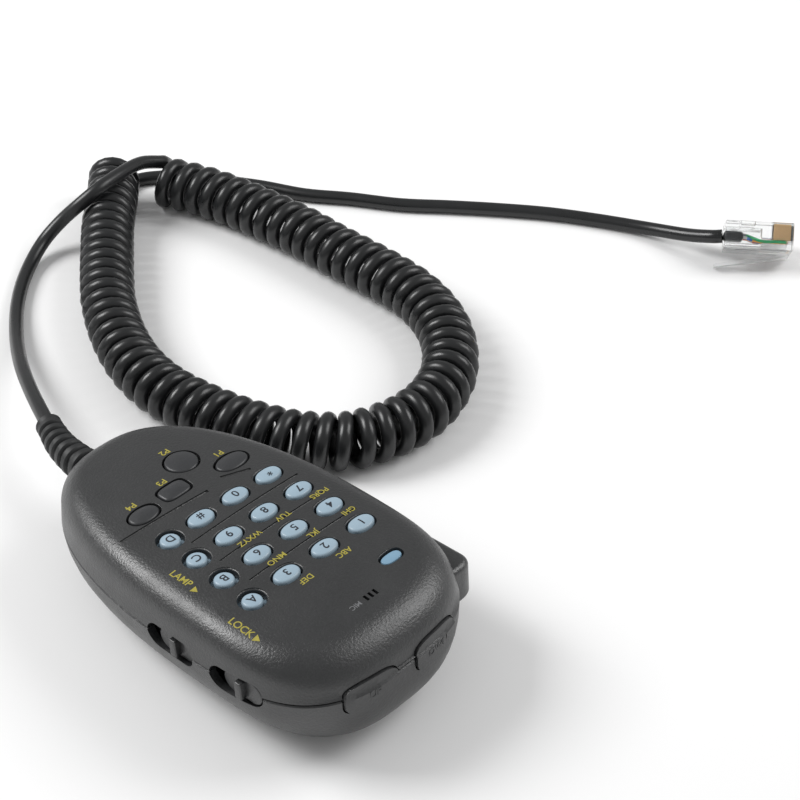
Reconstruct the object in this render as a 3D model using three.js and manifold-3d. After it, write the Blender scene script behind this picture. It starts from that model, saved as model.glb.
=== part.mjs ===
// Hand microphone with a keypad, on a coiled lead that ends in an eight-way modular plug.
// Millimetres. The microphone is drawn lying on its back in its own frame: +X to the user's right,
// +Y towards the top end, +Z out of the keypad face, and z = 0 on the flat of the rear shell.
// A hanger stud under the rear shell lifts the top end, so the whole microphone is then tilted
// until its rear edge and the stud rest on z = 0. The cord lies on z = 0 beside it.
import * as THREE from "three";
import { mergeVertices } from "three/addons/utils/BufferGeometryUtils.js";
import Module from "manifold-3d";

const wasm = await Module();
wasm.setup();

// ---------- driving dimensions ----------
const GAP = 0.3;            // running clearance between neighbouring pieces
const CUT = 1;              // how far a cutting tool overshoots the wall that it cuts

// Housing: two shells meeting on a flat parting plane
const WIDTH = 60.6;         // widest, on the parting plane
const CENTRE_X = -0.9;      // the housing is a little fuller on the user's left
const WIDEST_Y = 22;        // where it is widest
const TOP_REACH = 32.8;     // from the widest line to the top end
const TAIL_REACH = 71.8;    // from the widest line to the cable end
const TOP_SQUARENESS = 2.85;
const TAIL_SQUARENESS = 2.55;
const FACE_Z = 28.1;        // keypad face at the middle of its crown
const PARTING_Z = 15.5;
const CROWN_ACROSS = 0.0014;
const CROWN_TAIL_DROP = 2.48;  // how much lower the crown is at the cable end than at the middle
const DRAFT = 0.5;          // inward lean of the front shell's side wall
const SIDE_ROUND = 6;       // rounding from the wall to the face, at the sides and cable end
const TOP_ROUND = 9;        // the same at the top end
const REAR_SIDE_INSET = 9.5;  // how far the rear shell narrows to its flat, each side
const REAR_TOP_INSET = 6.5;   // the same at the top end
const REAR_TAIL_INSET = 8.5;  // the same at the cable end
const REAR_SIDE_POWER = 1.8;
const REAR_END_POWER = 2.5;
const WALL = 2;
const OUTLINE_POINTS = 48;

// Keypad
const ROW_Y = 24;           // row 1 2 3 A
const ROW_PITCH = 9.45;
const COLUMN_X = [-18.4, -6.7, 5.1, 15.6];
const ROW_NARROWING = 0.0324;  // the columns draw in by this share, row by row
const DIGIT_KEY = { halfWidth: 3.4, halfHeight: 2.3, power: 2.3, recess: -0.7, around: 0.5 };
const LETTER_KEY = { halfWidth: 2.4, halfHeight: 2.4, power: 2, recess: -0.3, around: 0.9 };
const OVAL_KEY = { halfWidth: 4.4, halfHeight: 2.8, power: 2.2, recess: -0.5, around: 0.5 };
const ROUND_KEY = { halfWidth: 4.1, halfHeight: 4.1, power: 2, recess: -0.5, around: 0.5 };
const BLOCK_KEY = { halfWidth: 3.9, halfHeight: 2.6, power: 3.6, recess: -0.5, around: 0.5 };
const SMALL_OVAL_KEY = { halfWidth: 4, halfHeight: 2.65, power: 2.2, recess: -0.5, around: 0.5 };
const FUNCTION_KEYS = [
  { name: "p1_key", x: -14.8, y: -15, form: OVAL_KEY },
  { name: "p2_key", x: -7.1, y: -24.2, form: ROUND_KEY },
  { name: "p3_key", x: 1.5, y: -17.1, form: BLOCK_KEY },
  { name: "p4_key", x: 11.9, y: -15.8, form: SMALL_OVAL_KEY },
];
const KEY_FLANGE = 0.8;     // how far a key's flange reaches past its cap's opening
const KEY_FLANGE_THICK = 0.8;
const KEY_DROP = 0.6;       // from the shell's inner face to the flange
const KEY_TRAVEL = 0.8;
const KEY_EDGE = 0.5;       // rounding at the top of a cap
const KEY_POINTS = 16;

// Stack under the face
const BOARD_TOP = 21.1;
const BOARD_THICK = 1.6;
const BOARD_INSET = 4.5;
const BOARD_TOP_MARGIN = 8.2;  // clears the end keys behind the top wall
const MAT_THICK = 1.2;
const MAT_INSET = 7;
const MAT_TOP_Y = 30;
const MAT_TAIL_Y = -30;
const PAD_RADIUS = 2;

// Indicator, microphone port and capsule
const LENS = { x: -15, y: 36.5, halfWidth: 2.8, halfHeight: 1.45, power: 2.6, around: 0.5 };
const PORT = { x: -2.85, y: 41.9, pitch: 1.4, count: 3, width: 0.7, length: 1.7 };
const CAPSULE_RADIUS = 3;
const CAPSULE_HEIGHT = 2.7;
const BOOT_WALL = 1;

// Up and down keys in the top end
const END_KEY = { x: 9.8, z: 14.4, halfWidth: 7.1, halfHeight: 3.8, power: 3.2, proud: 0.6, travel: 0.6 };
const END_KEY_FLANGE = 0.8;
const END_KEY_DEPTH = 3.6;  // from the wall's inner face to the flange, clear of the corner rounding

// Tact switches under the board
const TACT_SWITCH = { height: 6.2, half: 3, depth: 5, plunger: 1.2, plungerRadius: 1.2 };
const TALK_SWITCH = { y: 36, standOff: 5.1, plunger: 1.2 };

// Press-to-talk lever in the user's left side, hinged at its cable end
const TALK = { tailY: 6, topY: 44.5, bottomZ: 7.6, topZ: 18, proudTop: 2.4, proudTail: 0.9 };
const TALK_EDGE = 1.6;      // rounding along the lever's long edges
const TALK_CORNER = 4;       // rounding of the lever's thumb end, in plan
const TALK_CLEARANCE = 0.6;
const TALK_LIP = 0.6;
const TALK_LIP_THICK = 1;

// Slide switches in the user's right side
const SLIDE = {
  halfLength: 7.6, halfHeight: 3.3, capHalfLength: 5.9, travel: 2.6, sink: 1.3, ridge: 2, ridgeHalfHeight: 2.3,
};
const SLIDE_BODY = { depth: 4.6, halfLength: 4.5 };  // the slide switch behind each button
const SLIDE_SWITCHES = [
  { name: "lamp", y: 10.3 },
  { name: "lock", y: 31 },
];

// Hanger stud and screws
const STUD = { y: 28, radius: 6, height: 4, headThick: 1.7, neckRadius: 3.6, spigotRadius: 2.4 };
const CASE_SCREW = { headRadius: 2.6, headThick: 1.5, shankRadius: 1.2, sink: 0.5 };
const CASE_SCREW_PLACES = [[-7.5, 34], [7.5, 34], [-6.5, -34], [6.5, -34]];
const BOARD_SCREW = { headRadius: 2.1, headThick: 1.2, shankRadius: 0.8, reach: 3 };
const BOARD_SCREW_PLACES = [[15.5, 35], [0, -41]];
const BOSS_WALL = 1.6;
const CONNECTOR = { y: -26.5, halfWidth: 8, halfLength: 3, drop: 5 };

// Strain relief, cord and coil
const CORD_DIAMETER = 4;
const COIL_DIAMETER = 15.6;
const RELIEF_ROOT_RADIUS = 4.6;
const RELIEF_TIP_RADIUS = 3.4;
const RELIEF_COLLAR = { radius: 5.2, length: 2, clearance: 0.41 };
const RELIEF_RIBS = 7;
const RIB_DEPTH = 0.8;
const LEAD_TUBE = { sides: 8, steps: 20 };
const COIL_TUBE = { sides: 12, steps: 34 };
const TAIL_TUBE = { sides: 8, steps: 24 };
// Centre-line points in the model's frame: out of the strain relief, down to the surface, over the
// coil's far end, and onto the top of the coil's first turn.
const LEAD_ROUTE = [
  [-3.5, -77.65, 12.95], [-6.8, -85.2, 11.9], [-11.1, -94.2, 10.2], [-16.9, -105.2, 7.8],
  [-23.4, -115.8, 5.2], [-30.2, -125.5, 3.2], [-37.9, -135, 2.2], [-46.2, -143.1, 2.05],
  [-54.6, -149.3, 2.5], [-62.4, -152.4, 5], [-68.6, -151.2, 9.5], [-73, -147.7, 14.5],
  [-78.7, -145.9, 17.8], [-86.2, -147, 18], [-93.9, -148.9, 17], [-99.6, -149.8, 15.6],
  [-103.4, -149.9, 14.4],
];
// Centre line of the coil, which lies on the surface in an open loop.
const COIL_ROUTE = [
  [-104.2, -147.7], [-108.6, -135.7], [-111.3, -123.4], [-112.4, -114.3], [-113.7, -98.4], [-113.6, -83.8],
  [-114, -68.6], [-113.3, -53.7], [-109.4, -40.8], [-102.5, -30.1], [-92.6, -21.5], [-81.2, -16.9],
  [-70.4, -16.4], [-61.6, -18.7], [-54.4, -22.4], [-46.9, -31], [-42.5, -40.4], [-39.3, -50.8],
  [-37.3, -62], [-36.8, -73], [-39.1, -85.6], [-44.5, -98.7], [-51.9, -111.1], [-58.4, -119.5],
  [-69, -131.9], [-77.6, -141.5], [-87.1, -150.8], [-96.5, -160.5],
];
// From the coil's far end, behind its first turns, along the surface to the plug.
const TAIL_ROUTE = [
  [-98.1, -162.2, 2.05], [-104.5, -160.8, 2.05], [-110.8, -157.2, 2.05], [-116.5, -151, 2.05],
  [-122, -142, 2.05], [-128.6, -130.2, 2.05], [-134.4, -117.5, 2.05], [-142.2, -106, 2.05],
  [-150.1, -92.8, 2.05], [-159.5, -81, 2.05], [-168.6, -69, 2.05], [-177.1, -56.7, 2.05],
  [-184.4, -43.4, 2.1], [-189.9, -29.9, 2.8], [-192.2, -17.6, 5.1], [-193.5, -9.9, 7.4],
  [-195.03, -7.21, 8],
];

// Modular plug at the cord's end, its place given at the cable end of its body
const PLUG = { length: 19.4, width: 11.7, height: 8, roll: -43, heading: 127, place: [-195.28, -6.81, 8.05] };
const CONTACTS = { count: 8, pitch: 1.02, thick: 0.36, length: 5, depth: 2.6, slot: 0.66, fromNose: 0.8 };
const LATCH = { thick: 1.1, halfWidth: 1.6, standOff: 5.4, overhang: 2.4, fromNose: 0.8 };

const TOP_Y = WIDEST_Y + TOP_REACH;
const TAIL_Y = WIDEST_Y - TAIL_REACH;
const BOARD_BOTTOM = BOARD_TOP - BOARD_THICK;
const TAU = Math.PI * 2;

// ---------- colours and finishes ----------
const finish = (color, roughness, metalness = 0) =>
  new THREE.MeshStandardMaterial({ color, roughness, metalness });
const CHARCOAL_ABS = finish(0x3f4041, 0.55);
const BLUE_KEYCAP = finish(0xb4cbdc, 0.35);
const DARK_KEYCAP = finish(0x37383a, 0.5);
const CLEAR_BLUE = finish(0xa9c8e0, 0.15);
const GREY_SILICONE = finish(0x8b8f92, 0.7);
const CIRCUIT_BOARD = finish(0x1f5a3a, 0.5);
const BLACK_NYLON = finish(0x202122, 0.5);
const SWITCH_STEEL = finish(0xb8babb, 0.35, 1);
const BLACK_RUBBER = finish(0x1b1b1c, 0.6);
const BLACK_PVC = finish(0x232425, 0.35);
const ZINC_STEEL = finish(0xa9abac, 0.35, 1);
const CREAM_NYLON = finish(0xe8e4d8, 0.5);
const CLEAR_POLYCARBONATE = finish(0xe6ecee, 0.1);
const GOLD_CONTACT = finish(0xd9a93a, 0.25, 1);

// ---------- geometry helpers ----------
// Rings of equal point count, listed upwards and turning anticlockwise seen from above, made into
// one closed skin with a flat fan at each end.
function loft(rings) {
  const count = rings[0].length;
  const positions = rings.flat().flatMap((p) => [p.x, p.y, p.z]);
  const faces = [];
  for (let level = 0; level + 1 < rings.length; level++) {
    for (let i = 0; i < count; i++) {
      const a = level * count + i;
      const b = level * count + ((i + 1) % count);
      faces.push(a, b, b + count, a, b + count, a + count);
    }
  }
  const last = (rings.length - 1) * count;
  for (let i = 1; i + 1 < count; i++) {
    faces.push(0, i + 1, i, last, last + i, last + i + 1);
  }
  const geometry = new THREE.BufferGeometry();
  geometry.setAttribute("position", new THREE.Float32BufferAttribute(positions, 3));
  geometry.setIndex(faces);
  return geometry;
}

function signedPower(value, power) {
  return Math.sign(value) * Math.abs(value) ** power;
}

// A superellipse ring: round at power 2, squarer above it.
function ovalRing(halfWidth, halfHeight, power, z, count = KEY_POINTS) {
  return Array.from({ length: count }, (_, i) => {
    const turn = (i / count) * TAU;
    const x = halfWidth * signedPower(Math.cos(turn), 2 / power);
    const y = halfHeight * signedPower(Math.sin(turn), 2 / power);
    return new THREE.Vector3(x, y, z);
  });
}

function ovalPrism(halfWidth, halfHeight, power, bottom, top, count) {
  const ends = [bottom, top];
  return loft(ends.map((z) => ovalRing(halfWidth, halfHeight, power, z, count)));
}

function cylinder(radius, bottom, top, x = 0, y = 0, sides = 20) {
  const geometry = new THREE.CylinderGeometry(radius, radius, top - bottom, sides);
  geometry.rotateX(Math.PI / 2);
  return geometry.translate(x, y, (bottom + top) / 2);
}

function box(low, high) {
  const size = high.map((value, axis) => value - low[axis]);
  const centre = high.map((value, axis) => (value + low[axis]) / 2);
  return new THREE.BoxGeometry(...size).translate(...centre);
}

// A solid of revolution about +Z from radius and height pairs that start and end on the axis.
function turned(profile, sides = 20) {
  const points = profile.map(([radius, height]) => new THREE.Vector2(radius, height));
  return new THREE.LatheGeometry(points, sides).rotateX(Math.PI / 2);
}

function toSolid(geometry) {
  const plain = geometry.clone();
  plain.deleteAttribute("normal");
  plain.deleteAttribute("uv");
  const merged = mergeVertices(plain, 1e-4);
  return new wasm.Manifold(new wasm.Mesh({
    numProp: 3,
    vertProperties: new Float32Array(merged.attributes.position.array),
    triVerts: new Uint32Array(merged.index.array),
  }));
}

// The base with some pieces joined to it, then others cut away.
function build(base, { add = [], cut = [] }) {
  let solid = toSolid(base);
  for (const piece of add) {
    solid = solid.add(toSolid(piece));
  }
  for (const piece of cut) {
    solid = solid.subtract(toSolid(piece));
  }
  const mesh = solid.getMesh();
  const geometry = new THREE.BufferGeometry();
  geometry.setAttribute("position", new THREE.Float32BufferAttribute(mesh.vertProperties, 3));
  geometry.setIndex(Array.from(mesh.triVerts));
  return geometry;
}

function intersection(first, second) {
  const mesh = toSolid(first).intersect(toSolid(second)).getMesh();
  const geometry = new THREE.BufferGeometry();
  geometry.setAttribute("position", new THREE.Float32BufferAttribute(mesh.vertProperties, 3));
  geometry.setIndex(Array.from(mesh.triVerts));
  return geometry;
}

const mic = new THREE.Group();
const model = new THREE.Group();

function addPiece(name, geometry, material, group = mic) {
  const piece = new THREE.Mesh(geometry, material);
  piece.name = name;
  group.add(piece);
  return piece;
}

// ---------- housing form ----------
function crownZ(x, y) {
  return FACE_Z - CROWN_ACROSS * x * x - CROWN_TAIL_DROP * (y / TAIL_Y) ** 2;
}

// The outline at one place round the housing: two superellipse halves joined on the widest line.
function outlinePoint(turn, sideInset, topInset, tailInset) {
  const up = Math.sin(turn) >= 0;
  const power = up ? TOP_SQUARENESS : TAIL_SQUARENESS;
  const reach = up ? TOP_REACH - topInset : TAIL_REACH - tailInset;
  const x = CENTRE_X + (WIDTH / 2 - sideInset) * signedPower(Math.cos(turn), 2 / power);
  const y = WIDEST_Y + reach * signedPower(Math.sin(turn), 2 / power);
  return new THREE.Vector3(x, y, 0);
}

function outlineRing(place) {
  return Array.from({ length: OUTLINE_POINTS }, (_, i) => place((i / OUTLINE_POINTS) * TAU));
}

function flatRing(sideInset, topInset, tailInset, z) {
  return outlineRing((turn) => outlinePoint(turn, sideInset, topInset, tailInset).setZ(z));
}

// How far each side of the outline stands from the housing's centre plane at one y.
function halfWidthAt(y, inset = 0) {
  const up = y >= WIDEST_Y;
  const power = up ? TOP_SQUARENESS : TAIL_SQUARENESS;
  const reach = (up ? TOP_REACH : TAIL_REACH) - inset;
  const share = Math.min(1, Math.abs(y - WIDEST_Y) / reach);
  return (WIDTH / 2 - inset) * (1 - share ** power) ** (1 / power);
}

function rightSideAt(y) {
  return CENTRE_X + halfWidthAt(y);
}

function leftSideAt(y) {
  return CENTRE_X - halfWidthAt(y);
}

// The front shell's form, shrunk by a wall where it is the hollow inside.
function frontForm(wall, bottom) {
  const rings = [flatRing(wall, wall, wall, bottom)];
  const steps = 3;
  for (let step = 0; step <= steps; step++) {
    const angle = (step / steps) * (Math.PI / 2);
    rings.push(outlineRing((turn) => {
      const topShare = Math.max(0, Math.sin(turn)) ** 2;
      const side = SIDE_ROUND - wall;
      const top = TOP_ROUND - wall;
      const inward = 1 - Math.cos(angle);
      const point = outlinePoint(
        turn, wall + DRAFT + side * inward, wall + DRAFT + top * inward, wall + DRAFT + side * inward,
      );
      const drop = (side + (top - side) * topShare) * (1 - Math.sin(angle));
      return point.setZ(crownZ(point.x, point.y) - wall - drop);
    }));
  }
  for (const share of [0.6, 0.2]) {
    rings.push(outlineRing((turn) => {
      const edge = outlinePoint(turn, wall + DRAFT + SIDE_ROUND, wall + DRAFT + TOP_ROUND, wall + DRAFT + SIDE_ROUND);
      const x = edge.x * share;
      const y = edge.y * share;
      return new THREE.Vector3(x, y, crownZ(x, y) - wall);
    }));
  }
  return loft(rings);
}

// The rear shell's form: its wall leans in more and more until it meets the flat back.
function rearForm(wall, rim) {
  const depth = PARTING_Z;
  const heights = [0, 0.05, 0.15, 0.32, 0.6, 1];
  const lean = (height, inset, power) => inset * (1 - (1 - (1 - height) ** power) ** (1 / power));
  const rings = heights.map((height) => {
    const side = wall + lean(height, REAR_SIDE_INSET - wall, REAR_SIDE_POWER);
    const top = wall + lean(height, REAR_TOP_INSET - wall, REAR_END_POWER);
    const tail = wall + lean(height, REAR_TAIL_INSET - wall, REAR_END_POWER);
    return flatRing(side, top, tail, wall + height * (depth - wall));
  });
  rings.push(flatRing(wall, wall, wall, rim));
  return loft(rings);
}

// The whole housing as one closed form, used to trim pieces that follow its wall.
function housingForm(wall) {
  return build(frontForm(wall, PARTING_Z), { add: [rearForm(wall, PARTING_Z)] });
}

function rearLean(z) {
  const height = Math.min(1, z / PARTING_Z);
  return REAR_SIDE_INSET * (1 - (1 - (1 - height) ** REAR_SIDE_POWER) ** (1 / REAR_SIDE_POWER));
}

// A form drawn about +Z, turned so that its axis points along +X, then moved.
function alongX(geometry, x, y, z) {
  const basis = new THREE.Matrix4().makeBasis(
    new THREE.Vector3(0, 1, 0), new THREE.Vector3(0, 0, 1), new THREE.Vector3(1, 0, 0),
  );
  return geometry.applyMatrix4(basis).translate(x, y, z);
}

// The same with its axis along +Y.
function alongY(geometry, x, y, z) {
  const basis = new THREE.Matrix4().makeBasis(
    new THREE.Vector3(-1, 0, 0), new THREE.Vector3(0, 0, 1), new THREE.Vector3(0, 1, 0),
  );
  return geometry.applyMatrix4(basis).translate(x, y, z);
}

// A prism with half-round ends, its length along its own x.
function slotPrism(halfLength, halfHeight, bottom, top, count = 20) {
  const ring = (z) => Array.from({ length: count }, (_, i) => {
    const turn = ((i + 0.5) / count) * TAU;
    const shift = Math.sign(Math.cos(turn)) * (halfLength - halfHeight);
    return new THREE.Vector3(shift + halfHeight * Math.cos(turn), halfHeight * Math.sin(turn), z);
  });
  return loft([ring(bottom), ring(top)]);
}

// Rings square to a curve, each a share along it and with its own radius, joined into a closed skin.
function sweep(curve, stations, sides) {
  const side = new THREE.Vector3(0, 0, 1);
  return loft(stations.map(({ at, radius }) => {
    const centre = curve.getPointAt(at);
    const forward = curve.getTangentAt(at);
    const right = new THREE.Vector3().crossVectors(side, forward).normalize();
    const up = new THREE.Vector3().crossVectors(forward, right);
    return Array.from({ length: sides }, (_, i) => {
      const turn = (i / sides) * TAU;
      return centre.clone()
        .addScaledVector(right, radius * Math.cos(turn))
        .addScaledVector(up, radius * Math.sin(turn));
    });
  }));
}

// ---------- keypad ----------
const KEYPAD_ROWS = [["1", "2", "3", "a"], ["4", "5", "6", "b"], ["7", "8", "9", "c"], ["star", "0", "hash", "d"]];
const keys = KEYPAD_ROWS.flatMap((row, rowIndex) => row.map((legend, column) => ({
  name: `key_${legend}`,
  x: COLUMN_X[column] * (1 - ROW_NARROWING * rowIndex),
  y: ROW_Y - ROW_PITCH * rowIndex,
  form: column === 3 ? LETTER_KEY : DIGIT_KEY,
  material: BLUE_KEYCAP,
}))).concat(FUNCTION_KEYS.map((key) => ({ ...key, material: DARK_KEYCAP })));

function keyFlangeTop(key) {
  return crownZ(key.x, key.y) - WALL - KEY_DROP;
}

function keyGeometry({ x, y, form }, flangeTop) {
  const capTop = crownZ(x, y) - form.recess;
  const flangeWidth = form.halfWidth + form.around + KEY_FLANGE;
  const flangeHeight = Math.min(form.halfHeight + form.around + KEY_FLANGE, (ROW_PITCH - GAP) / 2);
  const { halfWidth, halfHeight, power } = form;
  return loft([
    ovalRing(flangeWidth, flangeHeight, power, flangeTop - KEY_FLANGE_THICK),
    ovalRing(flangeWidth, flangeHeight, power, flangeTop),
    ovalRing(halfWidth, halfHeight, power, flangeTop),
    ovalRing(halfWidth, halfHeight, power, capTop - KEY_EDGE),
    ovalRing(halfWidth - KEY_EDGE, halfHeight - KEY_EDGE, power, capTop),
  ]).translate(x, y, 0);
}

function openingInFace({ x, y, form }) {
  const face = crownZ(x, y);
  const halfWidth = form.halfWidth + form.around;
  const halfHeight = form.halfHeight + form.around;
  return ovalPrism(halfWidth, halfHeight, form.power, face - WALL - CUT, face + CUT).translate(x, y, 0);
}

for (const key of keys) {
  addPiece(key.name, keyGeometry(key, keyFlangeTop(key)), key.material);
}

// ---------- bosses, screws and their holes ----------
const caseScrewHole = CASE_SCREW.shankRadius + GAP;
const caseBossRadius = caseScrewHole + BOSS_WALL;
const headSeat = CASE_SCREW.sink + CASE_SCREW.headThick + GAP;
const rearBossTop = headSeat + WALL;
const frontBossBottom = rearBossTop + GAP;
const boardBossRadius = BOARD_SCREW.shankRadius + GAP + BOSS_WALL;

// Every boss under the face stops inside the face wall, which it joins.
function bossTop(x, y) {
  return crownZ(x, y) - WALL / 2;
}

for (const [index, [x, y]] of CASE_SCREW_PLACES.entries()) {
  const tip = BOARD_BOTTOM + BOARD_THICK;
  const screw = turned([
    [0, CASE_SCREW.sink],
    [CASE_SCREW.headRadius, CASE_SCREW.sink],
    [CASE_SCREW.headRadius, CASE_SCREW.sink + CASE_SCREW.headThick],
    [CASE_SCREW.shankRadius, CASE_SCREW.sink + CASE_SCREW.headThick],
    [CASE_SCREW.shankRadius, tip],
    [0, tip],
  ], 12);
  addPiece(`case_screw_${index + 1}`, screw.translate(x, y, 0), ZINC_STEEL);
}

for (const [index, [x, y]] of BOARD_SCREW_PLACES.entries()) {
  const head = BOARD_BOTTOM - GAP - BOARD_SCREW.headThick;
  const screw = turned([
    [0, head],
    [BOARD_SCREW.headRadius, head],
    [BOARD_SCREW.headRadius, head + BOARD_SCREW.headThick],
    [BOARD_SCREW.shankRadius, head + BOARD_SCREW.headThick],
    [BOARD_SCREW.shankRadius, BOARD_TOP + BOARD_SCREW.reach],
    [0, BOARD_TOP + BOARD_SCREW.reach],
  ], 12);
  addPiece(`board_screw_${index + 1}`, screw.translate(x, y, 0), ZINC_STEEL);
}

// ---------- openings shared by both shells ----------
const reliefHole = alongY(
  cylinder(RELIEF_ROOT_RADIUS + GAP, -WALL - CUT, WALL + CUT, 0, 0, 24), 0, TAIL_Y + WALL / 2, PARTING_Z,
);
const endKeyHoles = [1, -1].map((side) => alongY(
  ovalPrism(END_KEY.halfWidth + GAP, END_KEY.halfHeight + GAP, END_KEY.power, -WALL * 4, CUT),
  side * END_KEY.x, TOP_Y, END_KEY.z,
));
const slideZ = PARTING_Z - GAP;
const slideHoles = SLIDE_SWITCHES.map(({ y }) => alongX(
  slotPrism(SLIDE.halfLength, SLIDE.halfHeight, -WALL * 3, WALL), rightSideAt(y), y, slideZ,
));
const talkWindow = box(
  [CENTRE_X - WIDTH / 2 - CUT, TALK.tailY - TALK_CLEARANCE, TALK.bottomZ - TALK_CLEARANCE],
  [CENTRE_X - WIDTH / 2 + TOP_ROUND, TALK.topY + TALK_CLEARANCE, TALK.topZ + TALK_CLEARANCE],
);
const wallOpenings = [reliefHole, ...endKeyHoles, ...slideHoles, talkWindow];

// ---------- front shell ----------
const portSlots = Array.from({ length: PORT.count }, (_, i) => {
  const x = PORT.x + (i - (PORT.count - 1) / 2) * PORT.pitch;
  const face = crownZ(x, PORT.y);
  return box(
    [x - PORT.width / 2, PORT.y - PORT.length / 2, face - WALL - CUT],
    [x + PORT.width / 2, PORT.y + PORT.length / 2, face + CUT],
  );
});
const frontSkin = build(frontForm(0, PARTING_Z + GAP / 2), {
  cut: [frontForm(WALL, PARTING_Z - CUT), ...wallOpenings],
});
addPiece("front_shell", build(frontSkin, {
  add: [
    ...CASE_SCREW_PLACES.map(([x, y]) => cylinder(caseBossRadius, frontBossBottom, bossTop(x, y), x, y, 16)),
    ...BOARD_SCREW_PLACES.map(([x, y]) => cylinder(boardBossRadius, BOARD_TOP + GAP, bossTop(x, y), x, y, 12)),
  ],
  cut: [
    ...keys.map(openingInFace),
    openingInFace({ x: LENS.x, y: LENS.y, form: LENS }),
    ...portSlots,
    ...CASE_SCREW_PLACES.map(([x, y]) => cylinder(caseScrewHole, 0, BOARD_TOP + CUT, x, y, 12)),
    ...BOARD_SCREW_PLACES.map(([x, y]) => cylinder(
      BOARD_SCREW.shankRadius + GAP, BOARD_TOP, BOARD_TOP + BOARD_SCREW.reach + GAP, x, y, 12,
    )),
  ],
}), CHARCOAL_ABS);

// ---------- rear shell ----------
const spigotHole = STUD.spigotRadius + GAP;
const rearSkin = build(rearForm(0, PARTING_Z - GAP / 2), {
  cut: [rearForm(WALL, PARTING_Z + CUT), ...wallOpenings],
});
addPiece("rear_shell", build(rearSkin, {
  add: CASE_SCREW_PLACES.map(([x, y]) => cylinder(caseBossRadius + BOSS_WALL, WALL / 2, rearBossTop, x, y, 16)),
  cut: [
    ...CASE_SCREW_PLACES.map(([x, y]) => cylinder(CASE_SCREW.headRadius + GAP, -CUT, headSeat, x, y, 16)),
    ...CASE_SCREW_PLACES.map(([x, y]) => cylinder(caseScrewHole, 0, rearBossTop + CUT, x, y, 12)),
    cylinder(spigotHole, -CUT, WALL + CUT, 0, STUD.y, 16),
  ],
}), CHARCOAL_ABS);

// ---------- circuit board and keypad mat ----------
const slab = (inset, bottom, top) => loft([
  flatRing(inset, inset, inset, bottom), flatRing(inset, inset, inset, top),
]);
const bootRadius = CAPSULE_RADIUS + GAP + BOOT_WALL;
const boardLimits = box(
  [-WIDTH, TAIL_Y + BOARD_INSET + CUT, BOARD_BOTTOM - CUT],
  [WIDTH, TOP_Y - BOARD_TOP_MARGIN, BOARD_TOP + CUT],
);
addPiece("circuit_board", build(intersection(slab(BOARD_INSET, BOARD_BOTTOM, BOARD_TOP), boardLimits), {
  cut: [
    cylinder(bootRadius + GAP, BOARD_BOTTOM - CUT, BOARD_TOP + CUT, PORT.x, PORT.y, 24),
    ...CASE_SCREW_PLACES.map(([x, y]) => cylinder(
      caseBossRadius + GAP, BOARD_BOTTOM - CUT, BOARD_TOP + CUT, x, y, 16,
    )),
    ...BOARD_SCREW_PLACES.map(([x, y]) => cylinder(
      BOARD_SCREW.shankRadius + GAP, BOARD_BOTTOM - CUT, BOARD_TOP + CUT, x, y, 12,
    )),
  ],
}), CIRCUIT_BOARD);

const matBottom = BOARD_TOP + GAP;
const matTop = matBottom + MAT_THICK;
const padTop = (key) => keyFlangeTop(key) - KEY_FLANGE_THICK - KEY_TRAVEL - GAP / 2;
addPiece("keypad_mat", build(
  intersection(slab(MAT_INSET, matBottom, matTop), box([-WIDTH, MAT_TAIL_Y, 0], [WIDTH, MAT_TOP_Y, FACE_Z])),
  { add: keys.map((key) => cylinder(PAD_RADIUS, matBottom + MAT_THICK / 2, padTop(key), key.x, key.y, 6)) },
), GREY_SILICONE);

// ---------- indicator lens ----------
const lensFace = crownZ(LENS.x, LENS.y);
const lensFlangeTop = lensFace - WALL - KEY_DROP;
addPiece("indicator_lens", loft([
  ovalRing(LENS.halfWidth - GAP, LENS.halfHeight - GAP, LENS.power, BOARD_TOP + GAP),
  ovalRing(LENS.halfWidth - GAP, LENS.halfHeight - GAP, LENS.power, lensFlangeTop - KEY_FLANGE_THICK),
  ovalRing(LENS.halfWidth + KEY_FLANGE, LENS.halfHeight + KEY_FLANGE, LENS.power, lensFlangeTop - KEY_FLANGE_THICK),
  ovalRing(LENS.halfWidth + KEY_FLANGE, LENS.halfHeight + KEY_FLANGE, LENS.power, lensFlangeTop),
  ovalRing(LENS.halfWidth, LENS.halfHeight, LENS.power, lensFlangeTop),
  ovalRing(LENS.halfWidth, LENS.halfHeight, LENS.power, lensFace - GAP),
]).translate(LENS.x, LENS.y, 0), CLEAR_BLUE);

// ---------- microphone capsule in its rubber boot ----------
// The space that the shells leave inside, less a gap; the boot and the end keys are trimmed to it.
const innerForm = housingForm(WALL + GAP);
const bootTop = crownZ(PORT.x, PORT.y) - WALL - 2 * GAP;
const bootFloor = bootTop - BOOT_WALL;
const capsuleTop = bootFloor - GAP;
const portRadius = PORT.pitch * (PORT.count + 1) / 2;
addPiece("mic_capsule", cylinder(
  CAPSULE_RADIUS, capsuleTop - CAPSULE_HEIGHT, capsuleTop, PORT.x, PORT.y, 24,
), SWITCH_STEEL);
const bootBlank = cylinder(bootRadius, capsuleTop - CAPSULE_HEIGHT, bootTop, PORT.x, PORT.y, 24);
addPiece("mic_boot", build(intersection(bootBlank, innerForm), {
  cut: [
    cylinder(CAPSULE_RADIUS + GAP, capsuleTop - CAPSULE_HEIGHT - CUT, bootFloor, PORT.x, PORT.y, 24),
    cylinder(portRadius, bootFloor - CUT, bootTop + CUT, PORT.x, PORT.y, 16),
  ],
}), BLACK_RUBBER);

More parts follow.
